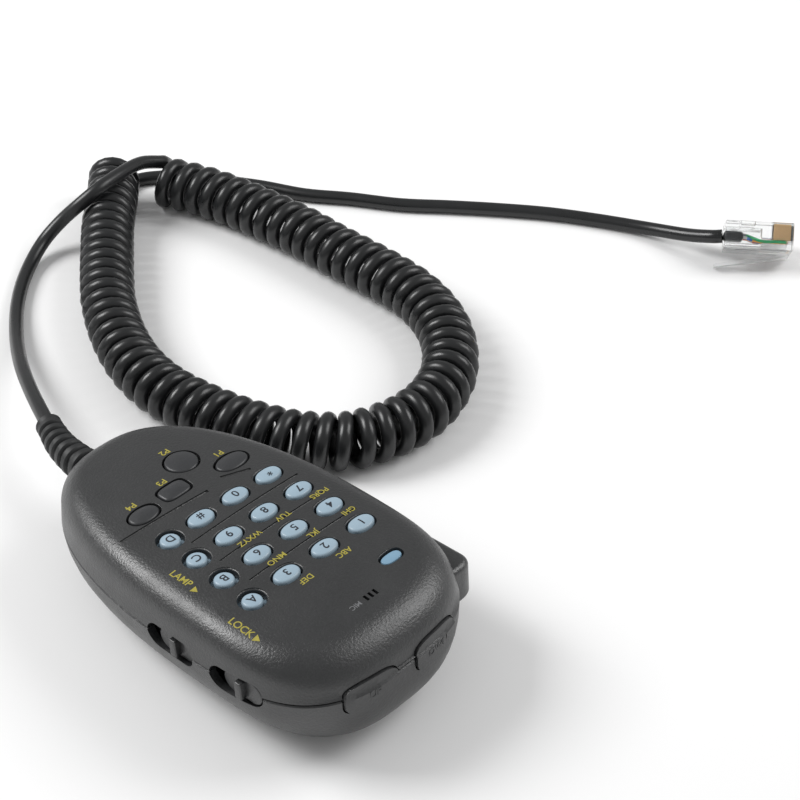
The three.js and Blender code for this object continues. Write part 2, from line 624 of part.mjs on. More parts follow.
// ---------- up and down keys ----------
// Each cap follows the end wall and stands a little proud of it; its flange sits behind the wall.
const switchTop = BOARD_BOTTOM - GAP;
const switchBottom = switchTop - TACT_SWITCH.height;
const endFlangeFront = TOP_Y - WALL - END_KEY_DEPTH;
const endFlangeBack = endFlangeFront - END_KEY_FLANGE;
for (const [name, side] of [["up", 1], ["down", -1]]) {
  const { halfWidth, halfHeight, power, z } = END_KEY;
  const x = side * END_KEY.x;
  const cap = intersection(
    alongY(ovalPrism(halfWidth, halfHeight, power, endFlangeBack, TOP_Y + 2), x, 0, z),
    housingForm(-END_KEY.proud),
  );
  const flange = intersection(
    alongY(ovalPrism(halfWidth + KEY_FLANGE, halfHeight + KEY_FLANGE, power, endFlangeBack, endFlangeFront), x, 0, z),
    innerForm,
  );
  addPiece(`${name}_key`, build(cap, { add: [flange] }), CHARCOAL_ABS);

  const plungerTip = endFlangeBack - END_KEY.travel - GAP;
  const front = plungerTip - TACT_SWITCH.plunger;
  addPiece(`${name}_switch`, build(box(
    [x - TACT_SWITCH.half, front - TACT_SWITCH.depth, switchBottom], [x + TACT_SWITCH.half, front, switchTop],
  ), {
    add: [alongY(cylinder(TACT_SWITCH.plungerRadius, -CUT, plungerTip - front, 0, 0, 12), x, front, z)],
  }), BLACK_NYLON);
}

// ---------- press-to-talk lever and its switch ----------
// A lever that swings about its cable end, with a lip all round that stays behind the wall.
const talkOuter = CENTRE_X - WIDTH / 2 - TALK.proudTop;
const talkTail = leftSideAt(TALK.tailY) - TALK.proudTail;
const talkInnerTail = leftSideAt(TALK.tailY) + WALL + DRAFT + TALK_LIP_THICK;
const talkInnerTop = leftSideAt(TALK.topY) + WALL + DRAFT + TALK_LIP_THICK + GAP;
const talkPlan = new THREE.Shape();
talkPlan.moveTo(talkInnerTail, TALK.tailY);
talkPlan.lineTo(talkInnerTop, TALK.topY);
talkPlan.lineTo(leftSideAt(TALK.topY) - TALK_CORNER / 2, TALK.topY);
talkPlan.quadraticCurveTo(talkOuter, TALK.topY, talkOuter, TALK.topY - TALK_CORNER);
talkPlan.lineTo(talkOuter, WIDEST_Y);
talkPlan.quadraticCurveTo(talkOuter, TALK.tailY + TALK_CORNER, talkTail, TALK.tailY);
talkPlan.closePath();
const talkHeight = TALK.topZ - TALK.bottomZ;
const talkBar = new THREE.ExtrudeGeometry(talkPlan, {
  depth: talkHeight - 2 * TALK_EDGE,
  bevelSize: TALK_EDGE, bevelThickness: TALK_EDGE, bevelOffset: -TALK_EDGE, bevelSegments: 2, curveSegments: 6,
}).translate(0, 0, TALK.bottomZ + TALK_EDGE);
const lipSpace = box(
  [-WIDTH, TALK.tailY - TALK_CLEARANCE - TALK_LIP, TALK.bottomZ - TALK_CLEARANCE - TALK_LIP],
  [-WIDTH / 4, TALK.topY + TALK_CLEARANCE + TALK_LIP, TALK.topZ + TALK_CLEARANCE + TALK_LIP],
);
const talkLip = build(intersection(housingForm(WALL + GAP), lipSpace), {
  cut: [housingForm(WALL + GAP + TALK_LIP_THICK)],
});
addPiece("talk_lever", build(talkBar, { add: [talkLip] }), CHARCOAL_ABS);

const { half, plungerRadius } = TACT_SWITCH;
const talkSwitchFace = leftSideAt(TALK_SWITCH.y) + WALL + DRAFT + TALK_LIP_THICK + TALK_SWITCH.standOff;
addPiece("talk_switch", build(box(
  [talkSwitchFace, TALK_SWITCH.y - half, switchBottom],
  [talkSwitchFace + 2 * half, TALK_SWITCH.y + half, switchTop],
), {
  add: [alongX(
    cylinder(plungerRadius, -TALK_SWITCH.plunger, CUT, 0, 0, 12), talkSwitchFace, TALK_SWITCH.y, switchBottom + half,
  )],
}), BLACK_NYLON);

// ---------- lamp and lock slide switches ----------
for (const { name, y } of SLIDE_SWITCHES) {
  const { halfLength, halfHeight, capHalfLength, travel, sink, ridge, ridgeHalfHeight } = SLIDE;
  const flangeHalfLength = halfLength + KEY_FLANGE;
  const flangeHalfHeight = halfHeight + KEY_FLANGE / 2;
  const capY = y + halfLength - capHalfLength - GAP;
  const narrowest = Math.min(rightSideAt(y - flangeHalfLength - travel), rightSideAt(y + flangeHalfLength));
  const flangeFace = narrowest - rearLean(slideZ - flangeHalfHeight) - WALL - GAP;
  const flangeBack = flangeFace - KEY_FLANGE_THICK;
  const capFace = rightSideAt(y) - sink;
  addPiece(`${name}_slider`, build(
    alongX(slotPrism(flangeHalfLength, flangeHalfHeight, flangeBack, flangeFace), 0, y, slideZ),
    {
      add: [
        alongX(slotPrism(capHalfLength, halfHeight - GAP, flangeBack, capFace), 0, capY, slideZ),
        box(
          [flangeBack, capY - ridge / 2, slideZ - ridgeHalfHeight],
          [capFace + sink + GAP, capY + ridge / 2, slideZ + ridgeHalfHeight],
        ),
      ],
    },
  ), CHARCOAL_ABS);
  addPiece(`${name}_switch`, box(
    [flangeBack - GAP - SLIDE_BODY.depth, y - SLIDE_BODY.halfLength, switchBottom],
    [flangeBack - GAP, y + SLIDE_BODY.halfLength, switchTop],
  ), BLACK_NYLON);
}

// ---------- hanger stud ----------
const studBottom = -STUD.height;
const studSeat = studBottom + STUD.headThick;
addPiece("hanger_stud", build(turned([
  [0, studBottom],
  [STUD.radius, studBottom],
  [STUD.radius, studSeat],
  [STUD.neckRadius, studSeat],
  [STUD.neckRadius, -GAP],
  [STUD.spigotRadius, -GAP],
  [STUD.spigotRadius, WALL],
  [0, WALL],
]).translate(0, STUD.y, 0), {
  cut: [
    cylinder(CASE_SCREW.headRadius + GAP, studBottom - CUT, studBottom + CASE_SCREW.headThick + GAP, 0, STUD.y, 16),
    cylinder(caseScrewHole, studBottom, WALL + CUT, 0, STUD.y, 12),
  ],
}), BLACK_NYLON);
const studScrewSeat = studBottom + CASE_SCREW.headThick;
addPiece("stud_screw", turned([
  [0, studBottom + GAP / 2],
  [CASE_SCREW.headRadius, studBottom + GAP / 2],
  [CASE_SCREW.headRadius, studScrewSeat],
  [CASE_SCREW.shankRadius, studScrewSeat],
  [CASE_SCREW.shankRadius, WALL + 3],
  [0, WALL + 3],
], 12).translate(0, STUD.y, 0), ZINC_STEEL);

// ---------- cord connector on the board ----------
addPiece("cord_connector", box(
  [-CONNECTOR.halfWidth, CONNECTOR.y - CONNECTOR.halfLength, switchTop - CONNECTOR.drop],
  [CONNECTOR.halfWidth, CONNECTOR.y + CONNECTOR.halfLength, switchTop],
), CREAM_NYLON);

// ---------- strain relief ----------
// A ribbed moulding held by a collar behind the cable-end wall, clear of the wall's bow; it bends
// to the user's left.
const collarShareOut = RELIEF_COLLAR.radius / (WIDTH / 2 - WALL);
const wallBow = (TAIL_REACH - WALL) * (1 - (1 - collarShareOut ** TAIL_SQUARENESS) ** (1 / TAIL_SQUARENESS));
const collarStart = TAIL_Y + WALL + wallBow + RELIEF_COLLAR.clearance + RELIEF_COLLAR.length;
const reliefPath = new THREE.CatmullRomCurve3([
  new THREE.Vector3(0, collarStart, PARTING_Z),
  new THREE.Vector3(0, TAIL_Y, PARTING_Z),
  new THREE.Vector3(-0.3, TAIL_Y - 7, PARTING_Z),
  new THREE.Vector3(-1.9, TAIL_Y - 15.5, PARTING_Z - 0.2),
  new THREE.Vector3(-5.4, TAIL_Y - 24.8, PARTING_Z - 0.4),
]);
const reliefLength = reliefPath.getLength();
const collarShare = RELIEF_COLLAR.length / reliefLength;
const ribsStart = (collarStart - TAIL_Y + 2) / reliefLength;
const reliefStations = [
  { at: 0, radius: RELIEF_COLLAR.radius },
  { at: collarShare, radius: RELIEF_COLLAR.radius },
  { at: collarShare + 0.001, radius: RELIEF_ROOT_RADIUS },
];
for (let rib = 0; rib < RELIEF_RIBS; rib++) {
  const pitch = (0.95 - ribsStart) / RELIEF_RIBS;
  const start = ribsStart + rib * pitch;
  const radius = RELIEF_ROOT_RADIUS + (RELIEF_TIP_RADIUS - RELIEF_ROOT_RADIUS) * (rib / (RELIEF_RIBS - 1));
  reliefStations.push(
    { at: start, radius: radius - RIB_DEPTH },
    { at: start + pitch * 0.4, radius: radius - RIB_DEPTH },
    { at: start + pitch * 0.45, radius },
    { at: start + pitch * 0.95, radius },
  );
}
reliefStations.push({ at: 1, radius: RELIEF_TIP_RADIUS });
addPiece("strain_relief", sweep(reliefPath, reliefStations, 12), BLACK_RUBBER);

// ---------- the microphone laid down on its stud and rear edge ----------
const restingEdgeY = TAIL_Y + REAR_TAIL_INSET;
const tilt = Math.atan(STUD.height / (STUD.y - STUD.radius - restingEdgeY));
mic.rotation.x = tilt;
mic.updateMatrixWorld(true);
const bounds = new THREE.Box3();
for (const piece of mic.children.filter(({ name }) => name !== "strain_relief")) {
  bounds.expandByObject(piece, true);
}
mic.position.set(-(bounds.min.x + bounds.max.x) / 2, -(bounds.min.y + bounds.max.y) / 2, -bounds.min.z);
model.add(mic);

// ---------- cord ----------
function roundTube(route, radius, { sides, steps }) {
  const section = new THREE.Shape();
  for (let i = 0; i < sides; i++) {
    const turn = (i / sides) * TAU;
    const corner = [radius * Math.cos(turn), radius * Math.sin(turn)];
    if (i === 0) {
      section.moveTo(...corner);
    } else {
      section.lineTo(...corner);
    }
  }
  section.closePath();
  const path = new THREE.CatmullRomCurve3(route.map((point) => new THREE.Vector3(...point)));
  return new THREE.ExtrudeGeometry(section, { extrudePath: path, steps, bevelEnabled: false });
}

const coilRoute = COIL_ROUTE.map(([x, y]) => [x, y, COIL_DIAMETER / 2]);
addPiece("cord_lead", roundTube(LEAD_ROUTE, CORD_DIAMETER / 2, LEAD_TUBE), BLACK_PVC, model);
addPiece("cord_coil", roundTube(coilRoute, COIL_DIAMETER / 2, COIL_TUBE), BLACK_PVC, model);
addPiece("cord_tail", roundTube(TAIL_ROUTE, CORD_DIAMETER / 2, TAIL_TUBE), BLACK_PVC, model);

// ---------- modular plug ----------
// Drawn with its nose along +X and its contacts up, then rolled onto its lower edge and its latch.
const plug = new THREE.Group();
plug.position.set(...PLUG.place);
plug.rotation.set(THREE.MathUtils.degToRad(PLUG.roll), 0, THREE.MathUtils.degToRad(PLUG.heading), "ZYX");
model.add(plug);

const plugTop = PLUG.height / 2;
const contactPlaces = Array.from(
  { length: CONTACTS.count }, (_, i) => (i - (CONTACTS.count - 1) / 2) * CONTACTS.pitch,
);
addPiece("plug_body", build(box([0, -PLUG.width / 2, -plugTop], [PLUG.length, PLUG.width / 2, plugTop]), {
  cut: contactPlaces.map((y) => box(
    [PLUG.length - CONTACTS.fromNose - CONTACTS.length - GAP, y - CONTACTS.slot / 2, plugTop - CONTACTS.depth - GAP],
    [PLUG.length + CUT, y + CONTACTS.slot / 2, plugTop + CUT],
  )),
}), CLEAR_POLYCARBONATE, plug);
for (const [index, y] of contactPlaces.entries()) {
  addPiece(`plug_contact_${index + 1}`, box(
    [PLUG.length - CONTACTS.fromNose - CONTACTS.length, y - CONTACTS.thick / 2, plugTop - CONTACTS.depth],
    [PLUG.length - CONTACTS.fromNose, y + CONTACTS.thick / 2, plugTop - GAP],
  ), GOLD_CONTACT, plug);
}
const latchSide = new THREE.Shape();
latchSide.moveTo(PLUG.length - LATCH.fromNose, -plugTop - GAP);
latchSide.lineTo(-LATCH.overhang, -plugTop - LATCH.standOff + LATCH.thick);
latchSide.lineTo(-LATCH.overhang, -plugTop - LATCH.standOff);
latchSide.lineTo(PLUG.length - LATCH.fromNose, -plugTop - GAP - LATCH.thick);
latchSide.closePath();
addPiece("plug_latch", new THREE.ExtrudeGeometry(latchSide, {
  depth: 2 * LATCH.halfWidth, bevelEnabled: false,
}).rotateX(Math.PI / 2).translate(0, LATCH.halfWidth, 0), CLEAR_POLYCARBONATE, plug);

export default model;
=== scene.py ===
# Hand microphone with a keypad, on a coiled cord that ends in a clear modular plug.
# Sizes are in millimetres until a finished piece is put in place, in metres, in the row frame.
import math

import bmesh
import bpy
from mathutils import Matrix, Vector
from mathutils.bvhtree import BVHTree


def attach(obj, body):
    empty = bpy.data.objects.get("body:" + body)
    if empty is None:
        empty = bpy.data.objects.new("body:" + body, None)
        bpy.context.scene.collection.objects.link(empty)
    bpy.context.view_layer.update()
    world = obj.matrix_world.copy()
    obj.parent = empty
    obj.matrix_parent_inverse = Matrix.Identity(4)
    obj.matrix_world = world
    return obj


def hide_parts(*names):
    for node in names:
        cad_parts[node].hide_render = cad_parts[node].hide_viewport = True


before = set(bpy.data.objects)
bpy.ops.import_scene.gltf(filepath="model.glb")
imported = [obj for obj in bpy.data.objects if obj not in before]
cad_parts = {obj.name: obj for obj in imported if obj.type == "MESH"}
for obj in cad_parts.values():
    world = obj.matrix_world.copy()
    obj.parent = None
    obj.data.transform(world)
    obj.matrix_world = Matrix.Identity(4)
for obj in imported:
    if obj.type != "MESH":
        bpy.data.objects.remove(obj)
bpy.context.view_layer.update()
MM = 0.001

# ---------- camera, light and floor ----------
# The camera looks down over the top end of the microphone, a long lens from half a metre away.
# Two soft panels stand in a pale room, to the left and right of the set, and their light
# glances off the housing's rounded edges.
camera = bpy.data.objects.new("camera", bpy.data.cameras.new("camera"))
camera.data.lens = 93.17
camera.data.sensor_width = 36
camera.location = (0.2316, 0.2644, 0.3451)
camera.rotation_euler = Vector((-0.5701, -0.5335, -0.6248)).to_track_quat("-Z", "Y").to_euler()
bpy.context.scene.collection.objects.link(camera)
bpy.context.scene.camera = camera
bpy.context.scene.view_settings.view_transform = "Standard"


def soft_panel(name, place, aim, size, watts):
    panel = bpy.data.objects.new(name, bpy.data.lights.new(name, "AREA"))
    panel.data.shape = "RECTANGLE"
    panel.data.size, panel.data.size_y = size
    panel.data.energy = watts
    panel.location = place
    panel.rotation_euler = (Vector(aim) - Vector(place)).to_track_quat("-Z", "Y").to_euler()
    bpy.context.scene.collection.objects.link(panel)


SET_CENTRE = (-0.05, -0.04, 0.01)
soft_panel("left_panel", (0.32, -0.56, 0.62), SET_CENTRE, (0.42, 0.42), 6.0)
soft_panel("right_panel", (-0.6, 0.36, 0.62), SET_CENTRE, (0.5, 0.5), 3.7)

room = bpy.data.worlds.new("white_room")
room.use_nodes = True
room.node_tree.nodes["Background"].inputs["Color"].default_value = (1, 1, 1, 1)
room.node_tree.nodes["Background"].inputs["Strength"].default_value = 0.42
bpy.context.scene.world = room


def linear(hex_colour):
    """An sRGB hex colour as a linear RGBA."""
    shares = [int(hex_colour[i:i + 2], 16) / 255 for i in (1, 3, 5)]
    return (*(s / 12.92 if s <= 0.04045 else ((s + 0.055) / 1.055) ** 2.4 for s in shares), 1)


def surface(name, colour, roughness, metallic=0.0, **sockets):
    """A material with these values on its shader's own sockets."""
    material = bpy.data.materials.new(name)
    material.use_nodes = True
    shader = material.node_tree.nodes["Principled BSDF"]
    shader.inputs["Base Color"].default_value = linear(colour)
    shader.inputs["Roughness"].default_value = roughness
    shader.inputs["Metallic"].default_value = metallic
    for socket, value in sockets.items():
        shader.inputs[socket.replace("_", " ")].default_value = value
    return material


def add_node(material, kind, values=None, sources=None):
    """Adds one node, with values on its inputs and links from other nodes' outputs."""
    node = material.node_tree.nodes.new(kind)
    for socket, value in (values or {}).items():
        node.inputs[socket].default_value = value
    for socket, source in (sources or {}).items():
        material.node_tree.links.new(source, node.inputs[socket])
    return node


def moulded(name, colour, roughness, grain, relief, metallic=0.0, mottle=0.06, **sockets):
    """A moulded or drawn surface: fine grain in relief, over slow unevenness in gloss and tone."""
    material = surface(name, colour, roughness, metallic, **sockets)
    shader = material.node_tree.nodes["Principled BSDF"]
    place = add_node(material, "ShaderNodeTexCoord")
    fine = add_node(
        material, "ShaderNodeTexNoise", {"Scale": 1 / (grain * MM), "Detail": 3, "Roughness": 0.6},
        {"Vector": place.outputs["Object"]},
    )
    slow = add_node(
        material, "ShaderNodeTexNoise", {"Scale": 1 / (12 * MM), "Detail": 5, "Roughness": 0.6},
        {"Vector": place.outputs["Object"]},
    )
    gloss = add_node(
        material, "ShaderNodeMapRange",
        {"From Min": 0.3, "From Max": 0.7, "To Min": roughness - 0.06, "To Max": roughness + 0.08},
        {"Value": slow.outputs["Fac"]},
    )
    shade = add_node(
        material, "ShaderNodeMapRange",
        {"From Min": 0.3, "From Max": 0.7, "To Min": 1 - mottle, "To Max": 1 + mottle},
        {"Value": fine.outputs["Fac"]},
    )
    tone = add_node(
        material, "ShaderNodeHueSaturation", {"Color": linear(colour)},
        {"Value": shade.outputs["Result"]},
    )
    bump = add_node(
        material, "ShaderNodeBump", {"Strength": 1.0, "Distance": relief * MM},
        {"Height": fine.outputs["Fac"]},
    )
    links = material.node_tree.links
    links.new(tone.outputs["Color"], shader.inputs["Base Color"])
    links.new(gloss.outputs["Result"], shader.inputs["Roughness"])
    links.new(bump.outputs["Normal"], shader.inputs["Normal"])
    return material


# The floor is matt white paper, so that it takes soft shadows and no highlight.
floor_form = bmesh.new()
bmesh.ops.create_grid(floor_form, x_segments=1, y_segments=1, size=3)
floor_mesh = bpy.data.meshes.new("floor")
floor_form.to_mesh(floor_mesh)
floor = bpy.data.objects.new("floor", floor_mesh)
floor.data.materials.append(surface("white_paper_floor", "#f4f4f4", 0.9))
bpy.context.scene.collection.objects.link(floor)

# ---------- cord ----------
# Four millimetre black PVC jacket, moulded smooth and a little shiny. It leaves the microphone,
# crosses the coil's far end, winds on as a left-handed coil, and runs from under it to the plug.
CORD = 4.0
COIL_RADIUS = 7.8
LEAD_ROUTE = [
    (-3.5, -77.65, 12.95), (-6.8, -85.2, 11.9), (-11.1, -94.2, 10.2), (-16.9, -105.2, 7.8),
    (-23.4, -115.8, 5.2), (-30.2, -125.5, 3.2), (-37.9, -135, 2.2), (-46.2, -143.1, 2.05),
    (-54.6, -149.3, 2.5), (-62.4, -152.4, 5), (-68.6, -151.2, 9.5), (-73, -147.7, 14.5),
    (-78.7, -145.9, 17.8), (-86.2, -147, 18), (-93.9, -148.9, 17), (-99.6, -149.8, 15.6),
]
COIL_ROUTE = [
    (-103.7, -149), (-108.6, -135.7), (-111.3, -123.4), (-112.4, -114.3), (-113.7, -98.4),
    (-113.6, -83.8), (-114, -68.6), (-113.3, -53.7), (-109.4, -40.8), (-102.5, -30.1),
    (-92.6, -21.5), (-81.2, -16.9), (-70.4, -16.4), (-61.6, -18.7), (-54.4, -22.4),
    (-46.9, -31), (-42.5, -40.4), (-39.3, -50.8), (-37.3, -62), (-36.8, -73), (-39.1, -85.6),
    (-44.5, -98.7), (-51.9, -111.1), (-58.4, -119.5), (-69, -131.9), (-77.6, -141.5),
    (-87.1, -150.8), (-96.5, -160.5),
]
TAIL_ROUTE = [
    (-104.5, -160.8, 2.05), (-110.8, -157.2, 2.05), (-116.5, -151, 2.05), (-122, -142, 2.05),
    (-128.6, -130.2, 2.05), (-134.4, -117.5, 2.05), (-142.2, -106, 2.05), (-150.1, -92.8, 2.05),
    (-159.5, -81, 2.05), (-168.6, -69, 2.05), (-177.1, -56.7, 2.05), (-184.4, -43.4, 2.1),
    (-189.9, -29.9, 2.8), (-192.2, -17.6, 5.1), (-193.5, -9.9, 7.4), (-195.03, -7.21, 8),
]
TURNS = 67.5
TURN_POINTS = 20
TURN_GAP = 0.05          # the strand's own clearance inside the coil's outside diameter
CLOSER_TURNS = 0.12      # the turns near the microphone lie this much closer than the others


def smooth_line(route, steps):
    """Points along a smooth curve through the route's points, with steps between each two."""
    ends = [2 * route[0] - route[1], *route, 2 * route[-1] - route[-2]]
    line = []
    for before, start, end, after in zip(ends, ends[1:], ends[2:], ends[3:]):
        for step in range(steps):
            t = step / steps
            line.append(0.5 * (
                2 * start + (end - before) * t + (2 * before - 5 * start + 4 * end - after) * t ** 2
                + (3 * start - before - 3 * end + after) * t ** 3
            ))
    return [*line, route[-1]]


def coil_line():
    """The strand's centre as it winds round the coil's own centre line."""
    axis = smooth_line([Vector((x, y, COIL_RADIUS)) for x, y in COIL_ROUTE], 12)
    reach = [0]
    for a, b in zip(axis, axis[1:]):
        reach.append(reach[-1] + (b - a).length)
    strand = []
    count = int(TURNS * TURN_POINTS)
    index = 0
    for i in range(count + 1):
        t = i / count
        share = t + CLOSER_TURNS * t * (1 - t) * 0.5
        distance = share * reach[-1]
        while index + 2 < len(reach) and reach[index + 1] < distance:
            index += 1
        along = (distance - reach[index]) / (reach[index + 1] - reach[index])
        centre = axis[index].lerp(axis[index + 1], along)
        forward = (axis[index + 1] - axis[index]).normalized()
        outward = Vector((0, 0, 1)).cross(forward)
        turn = t * TURNS * 2 * math.pi
        radius = COIL_RADIUS - CORD / 2 - TURN_GAP
        across = math.cos(turn) * Vector((0, 0, 1)) + math.sin(turn) * outward
        strand.append(centre + radius * across)
    return strand


coil = coil_line()
lead_and_first_turn = [Vector(p) for p in LEAD_ROUTE] + coil[1:4]
lead = smooth_line(lead_and_first_turn, 6)[:-7]
tail = smooth_line(coil[-3:] + [Vector(p) for p in TAIL_ROUTE], 6)[7:]
cord_line = lead + coil[3:-2] + tail
cord_length = sum((b - a).length for a, b in zip(cord_line, cord_line[1:]))

cord_curve = bpy.data.curves.new("cord", "CURVE")
cord_curve.dimensions = "3D"
cord_curve.bevel_depth = CORD / 2 * MM
cord_curve.bevel_resolution = 5
cord_curve.use_fill_caps = True
strand = cord_curve.splines.new("POLY")
strand.points.add(len(cord_line) - 1)
for point, place in zip(strand.points, cord_line):
    point.co = (*(place * MM), 1)
strand.use_smooth = True
cord = bpy.data.objects.new("cord", cord_curve)
bpy.context.scene.collection.objects.link(cord)
# Smooth soft PVC, whose low roughness draws one bright line along each turn.
cord.data.materials.append(moulded("extruded_black_pvc", "#1c1d1e", 0.3, 1.6, 0.012))
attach(cord, "housing")
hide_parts("cord_lead", "cord_coil", "cord_tail")


# ---------- modular plug ----------
# Injection-moulded clear polycarbonate with eight gilt blades. The crimped jacket ends inside it,
# and the coloured conductors run on to the blades. Its springy latch is one with its nose.
PLUG_LENGTH = 19.4
PLUG_WIDTH = 11.7
PLUG_HEIGHT = 8.0
PLUG_ROUND = 0.35
BLADE_PITCH = 1.02
BLADE_HALF, BLADE_SLOT_HALF = 0.18, 0.33
BLADE_BACK, BLADE_FRONT = PLUG_LENGTH - 5.6, PLUG_LENGTH - 0.8
BLADE_FOOT, BLADE_SINK = -0.8, 0.3
WIRE_RADIUS, WIRE_Z = 0.43, -1.35
JACKET_REACH = 5.5
JACKET_HALF = (2.6, 1.35)
IN_PLUG = Matrix.Translation((-195.28, -6.81, 8.05)) @ Matrix.Rotation(math.radians(127), 4, "Z")
IN_PLUG = IN_PLUG @ Matrix.Rotation(math.radians(-43), 4, "X")


def block(low, high, rounding=0.0, segments=3):
    """A box from its lowest to its highest corner, its edges rounded."""
    form = bmesh.new()
    low, high = Vector(low), Vector(high)
    size = Matrix.Diagonal((*(high - low), 1))
    bmesh.ops.create_cube(form, size=1, matrix=Matrix.Translation((low + high) / 2) @ size)
    if rounding:
        bmesh.ops.bevel(
            form, geom=form.edges[:], offset=rounding, segments=segments, profile=0.5,
            affect="EDGES", material=-1,
        )
    return form


def trial_object(form):
    mesh = bpy.data.meshes.new("trial")
    form.to_mesh(mesh)
    trial = bpy.data.objects.new("trial", mesh)
    bpy.context.scene.collection.objects.link(trial)
    return trial


def worked(form, tools, operation="DIFFERENCE"):
    """The form with each tool cut from it, joined to it, or kept in common with it."""
    body = trial_object(form)
    tool_objects = [trial_object(tool) for tool in tools]
    for tool in tool_objects:
        step = body.modifiers.new("step", "BOOLEAN")
        step.object = tool
        step.operation = operation
        step.solver = "MANIFOLD"
    result = bmesh.new()
    result.from_object(body, bpy.context.evaluated_depsgraph_get())
    for trial in [body, *tool_objects]:
        bpy.data.objects.remove(trial)
    return result


def together(forms):
    """Several separate forms in one."""
    whole = bmesh.new()
    for form in forms:
        mesh = bpy.data.meshes.new("part")
        form.to_mesh(mesh)
        whole.from_mesh(mesh)
        bpy.data.meshes.remove(mesh)
    return whole


def piece(name, form, materials, place, body, stands_for=(), smooth=32):
    """A finished piece: its form placed, smoothed, given its materials and joined to a body."""
    form.transform(Matrix.Scale(MM, 4) @ place)
    mesh = bpy.data.meshes.new(name)
    form.to_mesh(mesh)
    form.free()
    for polygon in mesh.polygons:
        polygon.use_smooth = True
    mesh.set_sharp_from_angle(angle=math.radians(smooth))
    for material in materials:
        mesh.materials.append(material)
    made = bpy.data.objects.new(name, mesh)
    bpy.context.scene.collection.objects.link(made)
    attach(made, body)
    if stands_for:
        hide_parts(*stands_for)
    return made


def grown(form, cap, first):
    """Extrudes the cap face onwards. The first face stays, and closes the form's other end."""
    result = bmesh.ops.extrude_face_region(form, geom=[cap])
    if not first:
        bmesh.ops.delete(form, geom=[cap], context="FACES_ONLY")
    return [made for made in result["geom"] if isinstance(made, bmesh.types.BMFace)][0]


def tube(line, radii, sides=12):
    """A round rod along a line of points, with a radius at each point, closed at both ends."""
    form = bmesh.new()
    bmesh.ops.create_circle(form, cap_ends=True, segments=sides, radius=1)
    cap = form.faces[:][0]
    for index, place in enumerate(line):
        before, after = line[max(index - 1, 0)], line[min(index + 1, len(line) - 1)]
        facing = (after - before).to_track_quat("Z", "Y").to_matrix()
        if index:
            cap = grown(form, cap, index == 1)
        for corner, vert in enumerate(cap.verts):
            turn = corner / sides * 2 * math.pi
            vert.co = place + radii[index] * (facing @ Vector((math.cos(turn), math.sin(turn), 0)))
    bmesh.ops.recalc_face_normals(form, faces=form.faces[:])
    return form


blade_places = [(i - 3.5) * BLADE_PITCH for i in range(8)]
# Polished and clear, with sharp highlights. Its low refraction stands for the thin hollow walls.
clear_polycarbonate = moulded(
    "clear_polycarbonate", "#fafbfb", 0.12, 2.5, 0.01, mottle=0.01,
    Transmission_Weight=1.0, IOR=1.35,
)
half_width, half_height = PLUG_WIDTH / 2, PLUG_HEIGHT / 2
jacket_cavity = block((-1, -4.1, -2.6), (JACKET_REACH + 5, 4.1, 2.2), 0.3)
wire_channel = block((JACKET_REACH + 4, -4.3, -2.1), (PLUG_LENGTH - 1.6, 4.3, -0.5))
crimp_window = block((4.4, -3.6, 2.9), (8.6, 3.6, 5), 0.3)
blade_slots = [
    block((BLADE_BACK - 0.5, y - BLADE_SLOT_HALF, -1), (PLUG_LENGTH + 1, y + BLADE_SLOT_HALF, 5))
    for y in blade_places
]
plug_body = piece(
    "clear_plug_body",
    worked(
        block(
            (0, -half_width, -half_height), (PLUG_LENGTH, half_width, half_height), PLUG_ROUND,
        ),
        [jacket_cavity, wire_channel, crimp_window, *blade_slots],
    ),
    [clear_polycarbonate], IN_PLUG, "housing", ["plug_body"],
)
# Gold plate, a warm metal a little dulled by its stamping.
gilt_bronze = moulded("gilt_phosphor_bronze", "#f0c998", 0.4, 0.3, 0.004, 1.0, 0.08)
blades = [
    piece(
        f"gilt_blade_{number}",
        block(
            (BLADE_BACK, y - BLADE_HALF, BLADE_FOOT),
            (BLADE_FRONT, y + BLADE_HALF, half_height - BLADE_SINK), 0.08, 2,
        ),
        [gilt_bronze], IN_PLUG, "housing", [f"plug_contact_{number}"],
    )
    for number, y in enumerate(blade_places, 1)
]

# Each conductor in its own colour of satin insulation, seen through the clear body.
WIRE_COLOURS = [
    "#2fa86a", "#f0a33c", "#f2cf3a", "#3a6fc0", "#8a8d90", "#d8402f", "#8b5a3a", "#d9d9d6",
]
for number, (colour, y) in enumerate(zip(WIRE_COLOURS, blade_places), 1):
    start = Vector((JACKET_REACH - 0.6, (number % 4 - 1.5) * 0.8, 0.45 if number % 2 else -0.45))
    fan = smooth_line([
        start, start + Vector((1.6, 0, 0)), Vector((JACKET_REACH + 5, y * 0.92, WIRE_Z)),
        Vector((PLUG_LENGTH - 5, y, WIRE_Z)), Vector((PLUG_LENGTH - 1.9, y, WIRE_Z)),
    ], 6)
    piece(
        f"conductor_{number}", tube(fan, [WIRE_RADIUS] * len(fan), 10),
        [moulded(f"conductor_insulation_{number}", colour, 0.42, 0.6, 0.004, mottle=0.04)],
        IN_PLUG, "housing",
    )
# The cord's own jacket again, pressed flat and so a little duller.
jacket_width, jacket_height = JACKET_HALF
jacket_end = piece(
    "jacket_end",
    block(
        (-0.2, -jacket_width, -jacket_height), (JACKET_REACH, jacket_width, jacket_height), 0.9, 4,
    ),
    [moulded("crimped_black_pvc", "#26272a", 0.4, 0.8, 0.02)], IN_PLUG, "housing",
)

